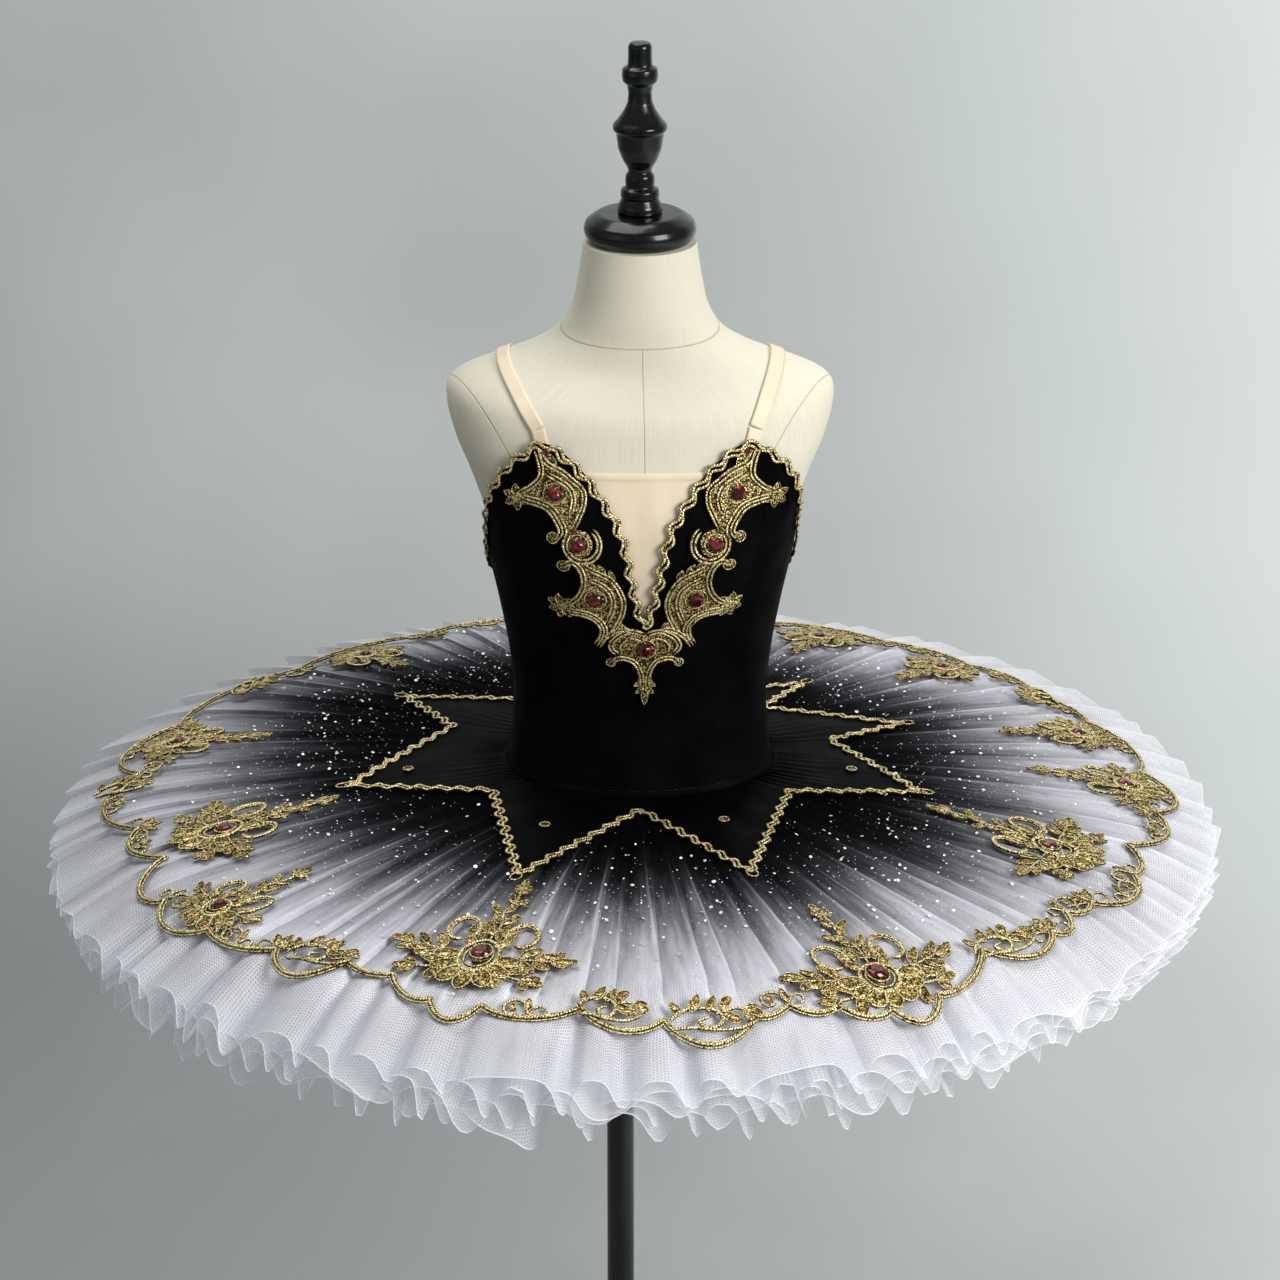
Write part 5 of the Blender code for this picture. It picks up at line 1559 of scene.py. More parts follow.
def build_pleating():
    sizes = ("Pleat Depth", "Pleat Overlap", "Hem Step", "Ruffle Depth", "Ruffle Overlap", "Unevenness")
    tree, given = new_growth("pleating", sizes, {"Seed": "Int", "Cloth": "Material"})
    pleat, ruffle, swell, loose = (field(tree, name) for name in ("pleat", "ruffle", "swell", "loose"))
    frill, wide, hem = (field(tree, name) for name in ("frill", "wide", "hem"))
    # A blade: up over three quarters of its width, then down under itself
    part = calc(tree, "FRACT", pleat)
    falling = calc(tree, "DIVIDE", minus(tree, 1.0, part), 0.25)
    blade = calc(tree, "MINIMUM", calc(tree, "DIVIDE", part, 0.75), falling)
    size = uneven(tree, calc(tree, "FLOOR", pleat), given["Seed"], given["Unevenness"])
    firm = minus(tree, 1.0, loose)
    depth = times(tree, times(tree, given["Pleat Depth"], swell), size)
    curved = calc(tree, "POWER", blade, 0.8)
    drop = times(tree, minus(tree, curved, 1.0), times(tree, depth, 2.0))
    lap = times(tree, times(tree, blade, given["Pleat Overlap"]), wide)
    slide = times(tree, lap, calc(tree, "MINIMUM", swell, 1.0))
    # A ruffle: its height is one curve and its sideways swing another, a quarter turn later
    turn = times(tree, ruffle, math.tau)
    roll = times(tree, calc(tree, "POWER", field(tree, "toward_hem"), 1.1), frill)
    twice = times(tree, turn, 2.0)
    wave = times_plus(tree, calc(tree, "COSINE", twice), 0.16,
                      minus(tree, calc(tree, "SINE", turn), 0.50))
    wave = times(tree, wave, times(tree, given["Ruffle Depth"], roll))
    swing = times_plus(tree, calc(tree, "SINE", twice), -0.12,
                       times(tree, calc(tree, "COSINE", turn), -0.34))
    swing = times(tree, swing, times(tree, given["Ruffle Overlap"], roll))
    # Each goes only as far as the net is firm or loose, and both move the hem in and out
    upward = calc(tree, "ADD", times(tree, drop, times_plus(tree, loose, -0.95, 1.0)),
                  times(tree, wave, loose))
    sideways = calc(tree, "ADD", times(tree, slide, firm), times(tree, swing, loose))
    step = times(tree, times(tree, minus(tree, blade, 0.6), given["Hem Step"]),
                 times(tree, times(tree, hem, firm), size))
    step = times_plus(tree, times(tree, wave, times(tree, loose, hem)), -0.40, step)
    around = field(tree, "around", "FLOAT_VECTOR")
    outward = field(tree, "outward", "FLOAT_VECTOR")
    offset = add_node(tree, "ShaderNodeCombineXYZ", (0.0, 0.0, upward)).outputs[0]
    for direction, amount in ((around, sideways), (outward, step)):
        part_way = scaled(tree, direction, amount)
        offset = vector(tree, "ADD", offset, part_way)
    folded = add_node(tree, "GeometryNodeSetPosition", {"Geometry": given["Geometry"], "Offset": offset})
    return finish_growth(tree, folded.outputs[0], given["Cloth"])


pleating = build_pleating()


def grown(piece, tree, values):
    """Run a geometry tree on a piece with the values named, and keep the result as plain mesh."""
    modifier = piece.modifiers.new(tree.name, "NODES")
    modifier.node_group = tree
    for item in tree.interface.items_tree:
        if item.item_type == "SOCKET" and item.in_out == "INPUT" and item.name in values:
            modifier[item.identifier] = values[item.name]
    baked(piece, modifier)
    piece.data.shade_smooth()


# %% [markdown]
# ### Net cloth
# Net has hexagonal holes a couple of millimetres wide, so it is half see-through and turns milky
# where layers and folds lie over each other. The top layer was sprayed black round the waist and
# fades through smoke to white. The fade runs out along the pleats in streaks, because the paint
# catches their edges first. Three cosines at sixty degrees make the holes.

# %% Group: net holes
def build_net_holes():
    """Thread is 1 on the net's threads and 0 in its holes."""
    tree, given, result = new_group("net_holes", [("Vector", "Vector", None), ("Cell", "Float", 0.0024)],
                                    [("Thread", "Float")])
    place = add_node(tree, "ShaderNodeSeparateXYZ", (given["Vector"],)).outputs
    scale = calc(tree, "DIVIDE", math.tau * 1.1547, given["Cell"])
    total = None
    for angle in (0, 60, 120):
        along = calc(tree, "ADD", times(tree, place[0], math.cos(math.radians(angle))),
                     times(tree, place[1], math.sin(math.radians(angle))))
        wave = calc(tree, "COSINE", times(tree, along, scale))
        total = wave if total is None else calc(tree, "ADD", total, wave)
    tree.links.new(spread(tree, total, -0.2, 1.3, 1.0, 0.0), result["Thread"])
    return tree


net_holes = build_net_holes()


def painted(tree, name):
    """A number that the mesh carries at each of its points."""
    return add_node(tree, "ShaderNodeAttribute", attribute_name=name).outputs["Fac"]


def net_finish(name, thin, firm, stops, streak):
    """A net material: its fade by radius, and how much of the light it stops at the rim and inside."""
    material, tree, shader = new_material(name)
    coords = add_node(tree, "ShaderNodeTexCoord").outputs
    # A ray's noise hardly changes outwards, so that it makes streaks along the pleats
    middle = vector(tree, "SUBTRACT", coords["Object"], (FORM_X, 0.0, 0.0))
    level = vector(tree, "MULTIPLY", middle, (1.0, 1.0, 0.0))
    radius = vector(tree, "LENGTH", level, output="Value")
    bearing = vector(tree, "NORMALIZE", level)
    outward = add_node(tree, "ShaderNodeCombineXYZ", (0.0, 0.0, times(tree, radius, 0.35))).outputs[0]
    ray = vector(tree, "ADD", bearing, outward)
    coarse = noise(tree, ray, 11.0, 1.0)
    fine = noise(tree, ray, 75.0, 1.0)
    spray = noise(tree, coords["Object"], 900.0, 0.0)
    shift = painted(tree, "shift")
    lean = stirred(tree, coarse, streak * 1.5, minus(tree, radius, shift))
    lean = stirred(tree, fine, streak * 0.8, lean)
    lean = stirred(tree, spray, streak * 0.35, lean)
    # A pleat's crest is a fold of double net, so it is firmer; it is also painted paler, a painted highlight
    # along the fold
    part = calc(tree, "FRACT", painted(tree, "pleat"))
    crest = spread(tree, calc(tree, "ABSOLUTE", minus(tree, part, 0.735)), 0.015, 0.08, 1.0, 0.0)
    firm_share = painted(tree, "firm")
    crest = times(tree, crest, times(tree, firm_share, spread(tree, coarse, 0.35, 0.6, 0.30, 1.0)))
    lean = times_plus(tree, crest, streak * 0.45, lean)
    fade = ramp(tree, times(tree, lean, 1.8), [(place * 1.8, tone) for place, tone in stops])
    to_hem = add_node(tree, "ShaderNodeSeparateXYZ", (coords["UV"],)).outputs[1]
    hem = spread(tree, to_hem, 0.0005, 0.0016, 0.85, 0.0)
    # Crest and hem stop more light as double net, and are painted brighter as a highlight
    edge = calc(tree, "MAXIMUM", times(tree, crest, 0.55), hem)
    # Under the next pleat lies painted shade
    under = times(tree, minus(tree, 1.0, spread(tree, part, 0.0, 0.5)), firm_share)
    shaded = times_plus(tree, edge, 0.10, times_plus(tree, fine, 0.16, 0.88))
    shaded = times(tree, shaded, times_plus(tree, under, -0.36, 1.0))
    color = scaled(tree, fade, shaded)
    # The holes show best at the rim; nearer the waist the layers close them
    thread = add_node(tree, "ShaderNodeGroup", {"Vector": coords["UV"]}, node_tree=net_holes).outputs[0]
    solid = spread(tree, radius, 0.375, 0.500, firm, thin)
    open_share = spread(tree, radius, 0.420, 0.500, 0.30, 0.95)
    woven = stirred(tree, thread, open_share, 0.95)
    woven = stirred(tree, spray, 0.6, woven)
    woven = times(tree, solid, woven)
    stopped = calc(tree, "MAXIMUM", woven, times(tree, edge, 0.95))
    connect(tree, shader, {
        "Base Color": color,
        "Alpha": calc(tree, "MINIMUM", stopped, 1.0),
        "Normal": bump(tree, 0.35, 0.0005, thread),
        "Roughness": spread(tree, fine, 0.3, 0.7, 0.80, 0.95),
        "Specular IOR Level": 0.02})
    print("finish:", name)
    return material


OMBRE = [(0.190, (0.0015, 0.0015, 0.002)), (0.235, (0.006, 0.006, 0.007)),
         (0.275, (0.035, 0.036, 0.042)), (0.318, (0.17, 0.172, 0.190)), (0.362, (0.42, 0.42, 0.47)),
         (0.415, (0.66, 0.66, 0.73)), (0.470, (0.86, 0.87, 0.94))]
WHITE = [(0.300, (0.82, 0.80, 0.86)), (0.440, (0.88, 0.86, 0.92)), (0.500, (0.90, 0.91, 0.97))]
NET_CLOTHS = {"ombre_net": net_finish("ombre_net", 0.39, 1.35, OMBRE, 0.062),
              "white_net": net_finish("white_net", 0.32, 0.90, WHITE, 0.02)}

# %% [markdown]
# ### The flat rings
# Each ring starts as a smooth sheet in its place on the yoke. Pleats are widest at the sides, where
# the net is stretched flat, and narrowest at the front; a fixed draw makes each one its own width.
# The table says how each layer differs.

# %% Rings
NET_LAYERS = table(
    "name node slot shorter finer ruffles rows depth ruffle swing seed",
    ("net_top", "net_layer_top", "ombre_net", 0.000, 1.00, 60, 50, PLEAT_DEPTH, 0.0130, 0.0085, 3),
    ("net_second", "net_layer_2", "white_net", 0.000, 1.10, 63, 32, 0.0030, 0.0135, 0.0085, 11),
    ("net_third", "net_layer_3", "white_net", 0.003, 1.05, 57, 32, 0.0028, 0.0135, 0.0090, 23),
    ("net_fourth", "net_layer_4", "white_net", 0.006, 1.12, 64, 32, 0.0028, 0.0130, 0.0080, 37),
    ("net_fifth", "net_layer_5", "white_net", 0.010, 1.08, 55, 32, 0.0028, 0.0140, 0.0090, 41))
# Columns across one pleat, closest where it is folded; the crest is at three quarters
COLUMN_PLACES = np.array([0.0, 0.14, 0.28, 0.42, 0.56, 0.68, 0.75, 0.80, 0.87, 0.94])
PLEAT_OVERLAP = 0.31           # how far a blade's crest is carried over, as a share of its width
HEM_STEP = 0.0115
LOOSE_LEFT = (-78, -54)        # azimuths where the loose front begins and is full
LOOSE_RIGHT = (34, 62)
LOOSE_FROM = 0.405             # radius where pleats start to let go, and where they have
LOOSE_TO = 0.494
SIDE_LOOSE = 0.08              # how loose the hem is at the sides and back
# How wide the pleats are, how high the ruffles stand and how far out the black reaches, by azimuth
SIDES = table(
    "azimuth degrees frill shift",
    (-180, 4.0, 0.7, 0.060), (-150, 4.4, 0.7, 0.062), (-133, 4.8, 0.7, 0.090),
    (-115, 5.6, 0.7, 0.080), (-95, 6.0, 0.8, 0.050), (-75, 5.8, 1.10, 0.026),
    (-50, 4.8, 1.10, 0.006), (-16, 4.2, 1.0, -0.006), (10, 4.0, 0.95, 0.000),
    (22, 4.0, 0.95, 0.018), (36, 4.2, 0.95, 0.012), (60, 4.8, 0.90, 0.028), (75, 5.8, 0.8, 0.018),
    (95, 6.0, 0.8, 0.010), (120, 5.6, 0.7, 0.026), (145, 4.6, 0.7, 0.012), (180, 4.0, 0.7, 0.060))
PLEAT_UNEVENNESS = 0.55


def pleat_edges(finer, seed):
    """Azimuths where the pleats of one ring start, each pleat of its own width."""
    draw = np.random.default_rng(seed)
    edges = [-180.0]
    while edges[-1] < 180:
        usual = np.interp(edges[-1], column(SIDES, "azimuth"), column(SIDES, "degrees"))
        edges.append(edges[-1] + usual / finer * draw.uniform(0.50, 1.55))
    edges = np.array(edges)
    return (edges + 180) * 360 / (edges[-1] + 180) - 180


def looseness(azimuth, radius):
    front = smoothstep(*LOOSE_LEFT, azimuth) * (1 - smoothstep(*LOOSE_RIGHT, azimuth))
    return (SIDE_LOOSE + (1 - SIDE_LOOSE) * front) * smoothstep(LOOSE_FROM, LOOSE_TO, radius)


def mesh_field(mesh, name, values, kind="FLOAT"):
    attribute = mesh.attributes.new(name, kind, "POINT")
    slot = "vector" if kind == "FLOAT_VECTOR" else "value"
    attribute.data.foreach_set(slot, np.ascontiguousarray(values, np.float32).ravel())


for order, layer in enumerate(NET_LAYERS):
    edges = pleat_edges(layer.finer, layer.seed)
    pleats = len(edges) - 1
    number = (np.arange(pleats)[:, None] + COLUMN_PLACES).ravel()
    even = np.interp(number, np.arange(pleats + 1), edges)
    turn = np.radians(even)
    k = layer.seed
    # Rows of points stand a little closer towards the rim, and the rim wavers as cut net does
    share = np.linspace(0, 1, layer.rows + 1)[:, None] ** 0.92
    inner = sewn_radius(even, YOKE_STEP * order)
    outer = (rim_radius(even) - layer.shorter + 0.0016 * np.sin(7 * turn + k)
             + 0.0011 * np.sin(19 * turn + 2 * k))
    radius = inner + (outer - inner) * share
    azimuth = np.broadcast_to(even, radius.shape)
    drop = YOKE_STEP * order + (RIM_STEP * order - YOKE_STEP * order) * share
    swell = pleat_rise(radius) / PLEAT_DEPTH
    height = plate_height(azimuth, radius) - drop + layer.depth * swell
    points = polar(azimuth, radius, height)
    way_round = np.append(number / pleats, 1.0) * math.tau * PLATE_RADIUS
    depth = float((outer - inner).mean())
    ring = new_piece(layer.name, [grid_patch(points, way_round, (1 - share) * depth, closed=True)],
                     NET_CLOTHS["ombre_net"])
    frill, shift = (np.interp(even, column(SIDES, "azimuth"), column(SIDES, name))
                    for name in ("frill", "shift"))
    width = np.radians(np.diff(edges))[np.floor(number).astype(int)]
    loose = looseness(azimuth, radius)
    # Pleats stand higher where they are sewn down, and only the last rows count as hem
    fields = {
        "pleat": number,
        "ruffle": ((even + 180) / 360 * layer.ruffles
                   + (0.4 * np.sin(3 * turn + k) + 0.30 * np.sin(13 * turn + 2 * k)
                      + 0.12 * np.sin(29 * turn + k))),
        "swell": swell + 0.30 * np.exp(-((radius - inner) / 0.06) ** 2),
        "loose": loose,
        "firm": 1 - np.clip(loose * 1.3, 0, 1),
        "toward_hem": smoothstep(LOOSE_FROM, PLATE_RADIUS + 0.012, radius),
        "frill": frill * (0.86 + 0.24 * np.sin(11 * turn + k) + 0.16 * np.sin(23 * turn + 2 * k)),
        "shift": shift,
        "wide": width * radius,
        "hem": share ** 8,
    }
    for name, values in fields.items():
        mesh_field(ring.data, name, np.broadcast_to(values, radius.shape))
    turn = np.radians(azimuth)
    outward = np.stack((np.sin(turn), -np.cos(turn), 0 * turn), -1)
    around = np.stack((-outward[..., 1], outward[..., 0], 0 * turn), -1)
    mesh_field(ring.data, "outward", outward, "FLOAT_VECTOR")
    mesh_field(ring.data, "around", around, "FLOAT_VECTOR")
    grown(ring, pleating, {
        "Pleat Depth": layer.depth, "Pleat Overlap": PLEAT_OVERLAP, "Hem Step": HEM_STEP,
        "Ruffle Depth": layer.ruffle, "Ruffle Overlap": layer.swing, "Unevenness": PLEAT_UNEVENNESS,
        "Seed": layer.seed, "Cloth": NET_CLOTHS[layer.slot]})
    sharpen(ring, 50)
    seat(ring, layer.slot, layer.node)

# %% [markdown]
# ## The black star
# Over the net lies an eight-pointed overlay of black satin, sewn into the basque seam with the
# net. It is cut a little full, so it is gathered at the seam and waves softly between its points.
# The grid runs from the seam out to the star's edge. Gathers are fine ridges that die out, and the
# waves are placed one by one.

# %% Black satin
satin, tree, shader = new_material("black_satin")
coords = add_node(tree, "ShaderNodeTexCoord").outputs
woven = weave_on(tree, coords["UV"], 1400.0, 1400.0, 0.4)
soft = noise(tree, coords["Object"], 30.0)
connect(tree, shader, {
    "Base Color": ramp(tree, soft, [(0.3, (0.0006, 0.0006, 0.0007)), (0.7, (0.0016, 0.0016, 0.0018))]),
    "Normal": bump(tree, 0.15, 0.0002, woven["Height"]),
    "Roughness": spread(tree, soft, 0.3, 0.7, 0.46, 0.60),
    "Specular IOR Level": 0.03})

# %% Star
STAR_CORNERS = table("azimuth radius",
                     (-174, 0.262), (-151, 0.165), (-128.5, 0.280), (-116, 0.190), (-80, 0.263),
                     (-60, 0.150), (-23, 0.265), (0, 0.124), (21.5, 0.256), (60, 0.152),
                     (76, 0.256), (106, 0.178), (113, 0.262), (139, 0.170), (143, 0.256),
                     (166, 0.160))
STAR_TIP = 0.24                # corners farther out than this are tips
STAR_SIDE_STEPS = 26
STAR_ROWS = 30
GATHERS = 104
GATHER_DEPTH = 0.0026
STAR_SEAM_LENGTH = 1.2
STAR_WAVES = table("azimuth radius width length height",
                   (-22, 0.190, 7, 0.060, 0.0030), (-38, 0.160, 6, 0.040, 0.0022),
                   (-8, 0.150, 5, 0.030, 0.0018), (12, 0.150, 5, 0.034, 0.0020),
                   (24, 0.180, 6, 0.055, 0.0028), (38, 0.150, 6, 0.036, 0.0020),
                   (-70, 0.180, 7, 0.050, 0.0026), (-88, 0.200, 6, 0.055, 0.0022),
                   (70, 0.175, 6, 0.045, 0.0025), (88, 0.190, 6, 0.050, 0.0022),
                   (116, 0.190, 8, 0.050, 0.0026), (-126, 0.210, 8, 0.060, 0.0026),
                   (148, 0.190, 6, 0.050, 0.0024), (-168, 0.190, 8, 0.050, 0.0026),
                   (178, 0.170, 5, 0.040, 0.0016))


def star_outline(steps):
    """Azimuth and radius round the star, straight from corner to corner."""
    corners = np.array(STAR_CORNERS)
    flat = polar(corners[:, 0], corners[:, 1], 0.0)[:, :2]
    nxt = np.roll(flat, -1, 0)
    t = (np.arange(steps) / steps)[None, :, None]
    line = (flat[:, None] * (1 - t) + nxt[:, None] * t).reshape(-1, 2)
    return from_plan(line - [FORM_X, 0.0])


star_azimuth, star_radius = star_outline(STAR_SIDE_STEPS)
inner = sewn_radius(star_azimuth, 0)
share = np.linspace(0, 1, STAR_ROWS + 1)[:, None]
radius = inner + (star_radius - inner) * share
azimuth = star_azimuth + 0 * radius
turn = np.radians(azimuth)
gathered = (np.exp(-(radius - inner) / 0.034)
            * (0.5 + 0.5 * np.sin(turn * GATHERS + 1.4 * np.sin(turn * 11))))
waves = 0.0
for wave in STAR_WAVES:
    away = ((azimuth - wave.azimuth + 180) % 360 - 180) / wave.width
    waves = waves + wave.height * np.exp(-away ** 2 - ((radius - wave.radius) / (wave.length / 2)) ** 2)
loose_edge = np.sin(np.pi * share * 0.985) ** 0.5
lift = (NET_CLEAR + THIN_CLOTH / 2 + GATHER_DEPTH * gathered * smoothstep(0.0, 0.06, share)
        + waves * loose_edge)
points = plate_point(azimuth, radius, lift)
way_round = np.append(np.arange(len(star_azimuth)) / len(star_azimuth), 1.0) * STAR_SEAM_LENGTH
sheet = grid_patch(points[:, ::-1], way_round, radius[:, :1], closed=True)
star = new_piece("star_satin", [sheet], satin)
thicken(star, THIN_CLOTH)
sharpen(star, 60)
seat(star, "black_satin", "star_overlay")

# %% [markdown]
# ### Braid round the star
# The same waved braid covers the star's raw edge. At each point it turns in a small loop, as a cord
# must that can't fold sharply. Four eyelets are sewn on the front and side points.

# %% Star braid
flat = paced(on_plan(*star_outline(120)), 0.0015, True)
flat = calmed(flat, np.exp(-(np.arange(-4, 5) / 2.0) ** 2))
azimuth, radius = from_plan(flat)
star_lift = NET_CLEAR + THIN_CLOTH + SEAM_GAP + TRIM / 2
path = plate_point(azimuth, radius, star_lift)
star_patches = braid_patches(path, plate_normal(azimuth, radius), closed=True, pitch=0.0185)


def net_ground(azimuth, radius, foot, turn=0.0):
    """Flat millimetres onto the net: across runs round the plate, up runs in towards the waist."""
    cosine, sine = math.cos(math.radians(turn)), math.sin(math.radians(turn))

    def place(flat, lift):
        across = flat[:, 0] * cosine - flat[:, 1] * sine
        inward = flat[:, 0] * sine + flat[:, 1] * cosine
        far = radius - inward / 1000
        turned = azimuth + np.degrees(across / 1000 / radius)
        return plate_point(turned, far, foot + lift / 1000), plate_normal(turned, far)
    return place


TIP_LOOP = [(2.2, 9), (4.6, 3), (3.4, -3), (0, -5), (-3.4, -3), (-4.6, 3), (-2.2, 9)]
for corner in STAR_CORNERS:
    if corner.radius > STAR_TIP:
        place = net_ground(corner.azimuth, corner.radius + 0.006, star_lift - 0.001)
        star_patches += cord_on(place, flowing(TIP_LOOP), 2.0, 1.8, 1.9, ends=0.1)
star_braid = new_piece("star_braid_gold", star_patches, gold_cord)
seat(star_braid, "gold_thread", "star_braid")

# %% Eyelets
EYELETS = table("azimuth radius", (-84.8, 0.208), (-28.5, 0.173), (27.1, 0.160), (83.4, 0.190))
eyelet_patches = []
for eyelet in EYELETS:
    place = net_ground(eyelet.azimuth, eyelet.radius, NET_CLEAR + THIN_CLOTH + 0.0016)
    eyelet_patches += pad_on(place, circle(4, 10), spacing=1.4, rise=1.2)
    eyelet_patches += ring_round(place, 4.4, 1.0, 1.7)
eyelets = new_piece("star_eyelets_gold", eyelet_patches, GOLD)
seat(eyelets, "gold_thread")

# %% [markdown]
# ## Gold border
# A twisted cord runs round the plate in scallops, with a fine one along each side of it. On the net
# inside the scallops sit twelve motifs: a stone in an oval ring, two C-shaped scrolls, a stem of
# leaves that points to the waist, a spray to each side and a fan of petals towards the hem. No two
# are the same size, and small scrolls fill the longer gaps. All of it is drawn with the cords and
# petals made above.

# %% Scalloped cord
SCALLOPS = table(
    "azimuth cusp crown",
    (-180, 0.444, 0.464), (-166, 0.444, 0.460), (-152, 0.441, 0.453), (-132, 0.438, 0.462),
    (-110, 0.455, 0.486), (-95, 0.453, 0.480), (-78.5, 0.449, 0.463), (-69, 0.440, 0.476),
    (-60, 0.467, 0.485), (-51, 0.466, 0.470), (-41.5, 0.455, 0.474), (-33, 0.443, 0.451),
    (-27, 0.446, 0.465), (-21.6, 0.464, 0.481), (-16.2, 0.463, 0.471), (-6, 0.457, 0.478),
    (2.3, 0.468, 0.492), (11.3, 0.469, 0.470), (15.2, 0.461, 0.473), (20, 0.468, 0.484),
    (25.2, 0.480, 0.497), (30.7, 0.477, 0.474), (39.2, 0.448, 0.473), (48.6, 0.459, 0.467),
    (53, 0.449, 0.460), (57.3, 0.455, 0.476), (66.8, 0.463, 0.463), (73.2, 0.444, 0.472),
    (84, 0.459, 0.481), (95.4, 0.454, 0.464), (111, 0.444, 0.449), (121, 0.430, 0.450),
    (134, 0.436, 0.446), (147, 0.436, 0.448), (163, 0.440, 0.458))
BORDER_STEPS = 30
route = []
ends = SCALLOPS[1:] + [SCALLOPS[0]._replace(azimuth=180)]
for start, end in zip(SCALLOPS, ends):
    t = np.arange(BORDER_STEPS) / BORDER_STEPS
    level = start.cusp + (end.cusp - start.cusp) * t
    rise = start.crown - (start.cusp + end.cusp) / 2
    azimuth = start.azimuth + (end.azimuth - start.azimuth) * t
    route.append(np.stack((azimuth, level + rise * np.sin(np.pi * t) ** 0.7), -1))
route = np.concatenate(route)
flat = paced(on_plan(route[:, 0], route[:, 1]), 0.0018, True)
flat = calmed(flat, np.exp(-np.arange(-2.0, 3.0) ** 2))
BORDER_LIFT = BORDER_CLEAR + 0.0003
BORDER_STRANDS = table("away width rise",
                       (0.0, 0.0032, 0.0004), (-0.0024, 0.0020, 0.0), (0.0024, 0.0020, 0.0))
border_patches = []
for strand in BORDER_STRANDS:
    azimuth, radius = from_plan(beside(flat, strand.away, True))
    points = plate_point(azimuth, radius, BORDER_LIFT + strand.width * 0.45 + strand.rise)
    border_patches += tube_patch(points, plate_normal(azimuth, radius), strand.width, strand.width, 6, True)

# %% Motif parts
MOTIF_HALF = 84.0              # the drawn motif's half width and its reach each way, in millimetres
MOTIF_IN = 127.0
MOTIF_OUT = 50.0


def toward(angle, along, inward):
    """A flat point at an angle from the middle, on an ellipse."""
    angle = math.radians(angle)
    return np.array((math.cos(angle) * along, math.sin(angle) * inward))


def core_size(motif):
    """How big a motif's middle is: small motifs shrink less there than in their width."""
    return 0.40 + 0.60 * min(motif.width / MOTIF_HALF, 1.0)


def spray(place, points, leaves, length, width, angle, first):
    """A stem with leaves in pairs and one at its tip."""
    stem = paced(flowing(points), 1.6)
    patches = cord_on(place, stem, 3.0, 2.6, 1.7, ends=0.1, sides=7)
    for k in range(leaves):
        share = first + (0.92 - first) * k / max(leaves - 1, 1)
        shrink = 1 - 0.30 * k / max(leaves - 1, 1)
        i = min(int(share * (len(stem) - 1)), len(stem) - 2)
        run = unit(stem[i + 1] - stem[i])
        for side in (1, -1):
            turn = math.radians(angle + 14 * ((k * 2 + side) % 3 - 1)) * side
            way = np.array([run[0] * math.cos(turn) - run[1] * math.sin(turn),
                            run[0] * math.sin(turn) + run[1] * math.cos(turn)])
            patches += petal_on(place, stem[i] + way * width * 0.15, stem[i] + way * length * shrink,
                                width * shrink, 3.0, 1.8, 0.10 * side, True)
    way = unit(stem[-1] - stem[-3])
    return patches + petal_on(place, stem[-1] - way * 3, stem[-1] + way * length * 0.75,
                              width * 0.85, 3.0, 1.8, blunt=True)


def c_scroll(place, middle, wide, tall, side, width):
    """A thick cord that turns almost a full round, with a fine one inside it."""
    t = np.linspace(0, 1, 28)
    angle = np.radians(205 - 322 * t)
    shrink = 1 - 0.22 * t ** 3
    curve = np.stack((side * (middle[0] + np.cos(angle) * wide * shrink),
                      middle[1] + np.sin(angle) * tall * shrink), -1)
    return (cord_on(place, curve, width, width * 0.72, 2.2, ends=0.05, sides=8)
            + cord_on(place, beside(curve, -2.6 * side), 1.9, 1.9, 1.7, ends=0.05))


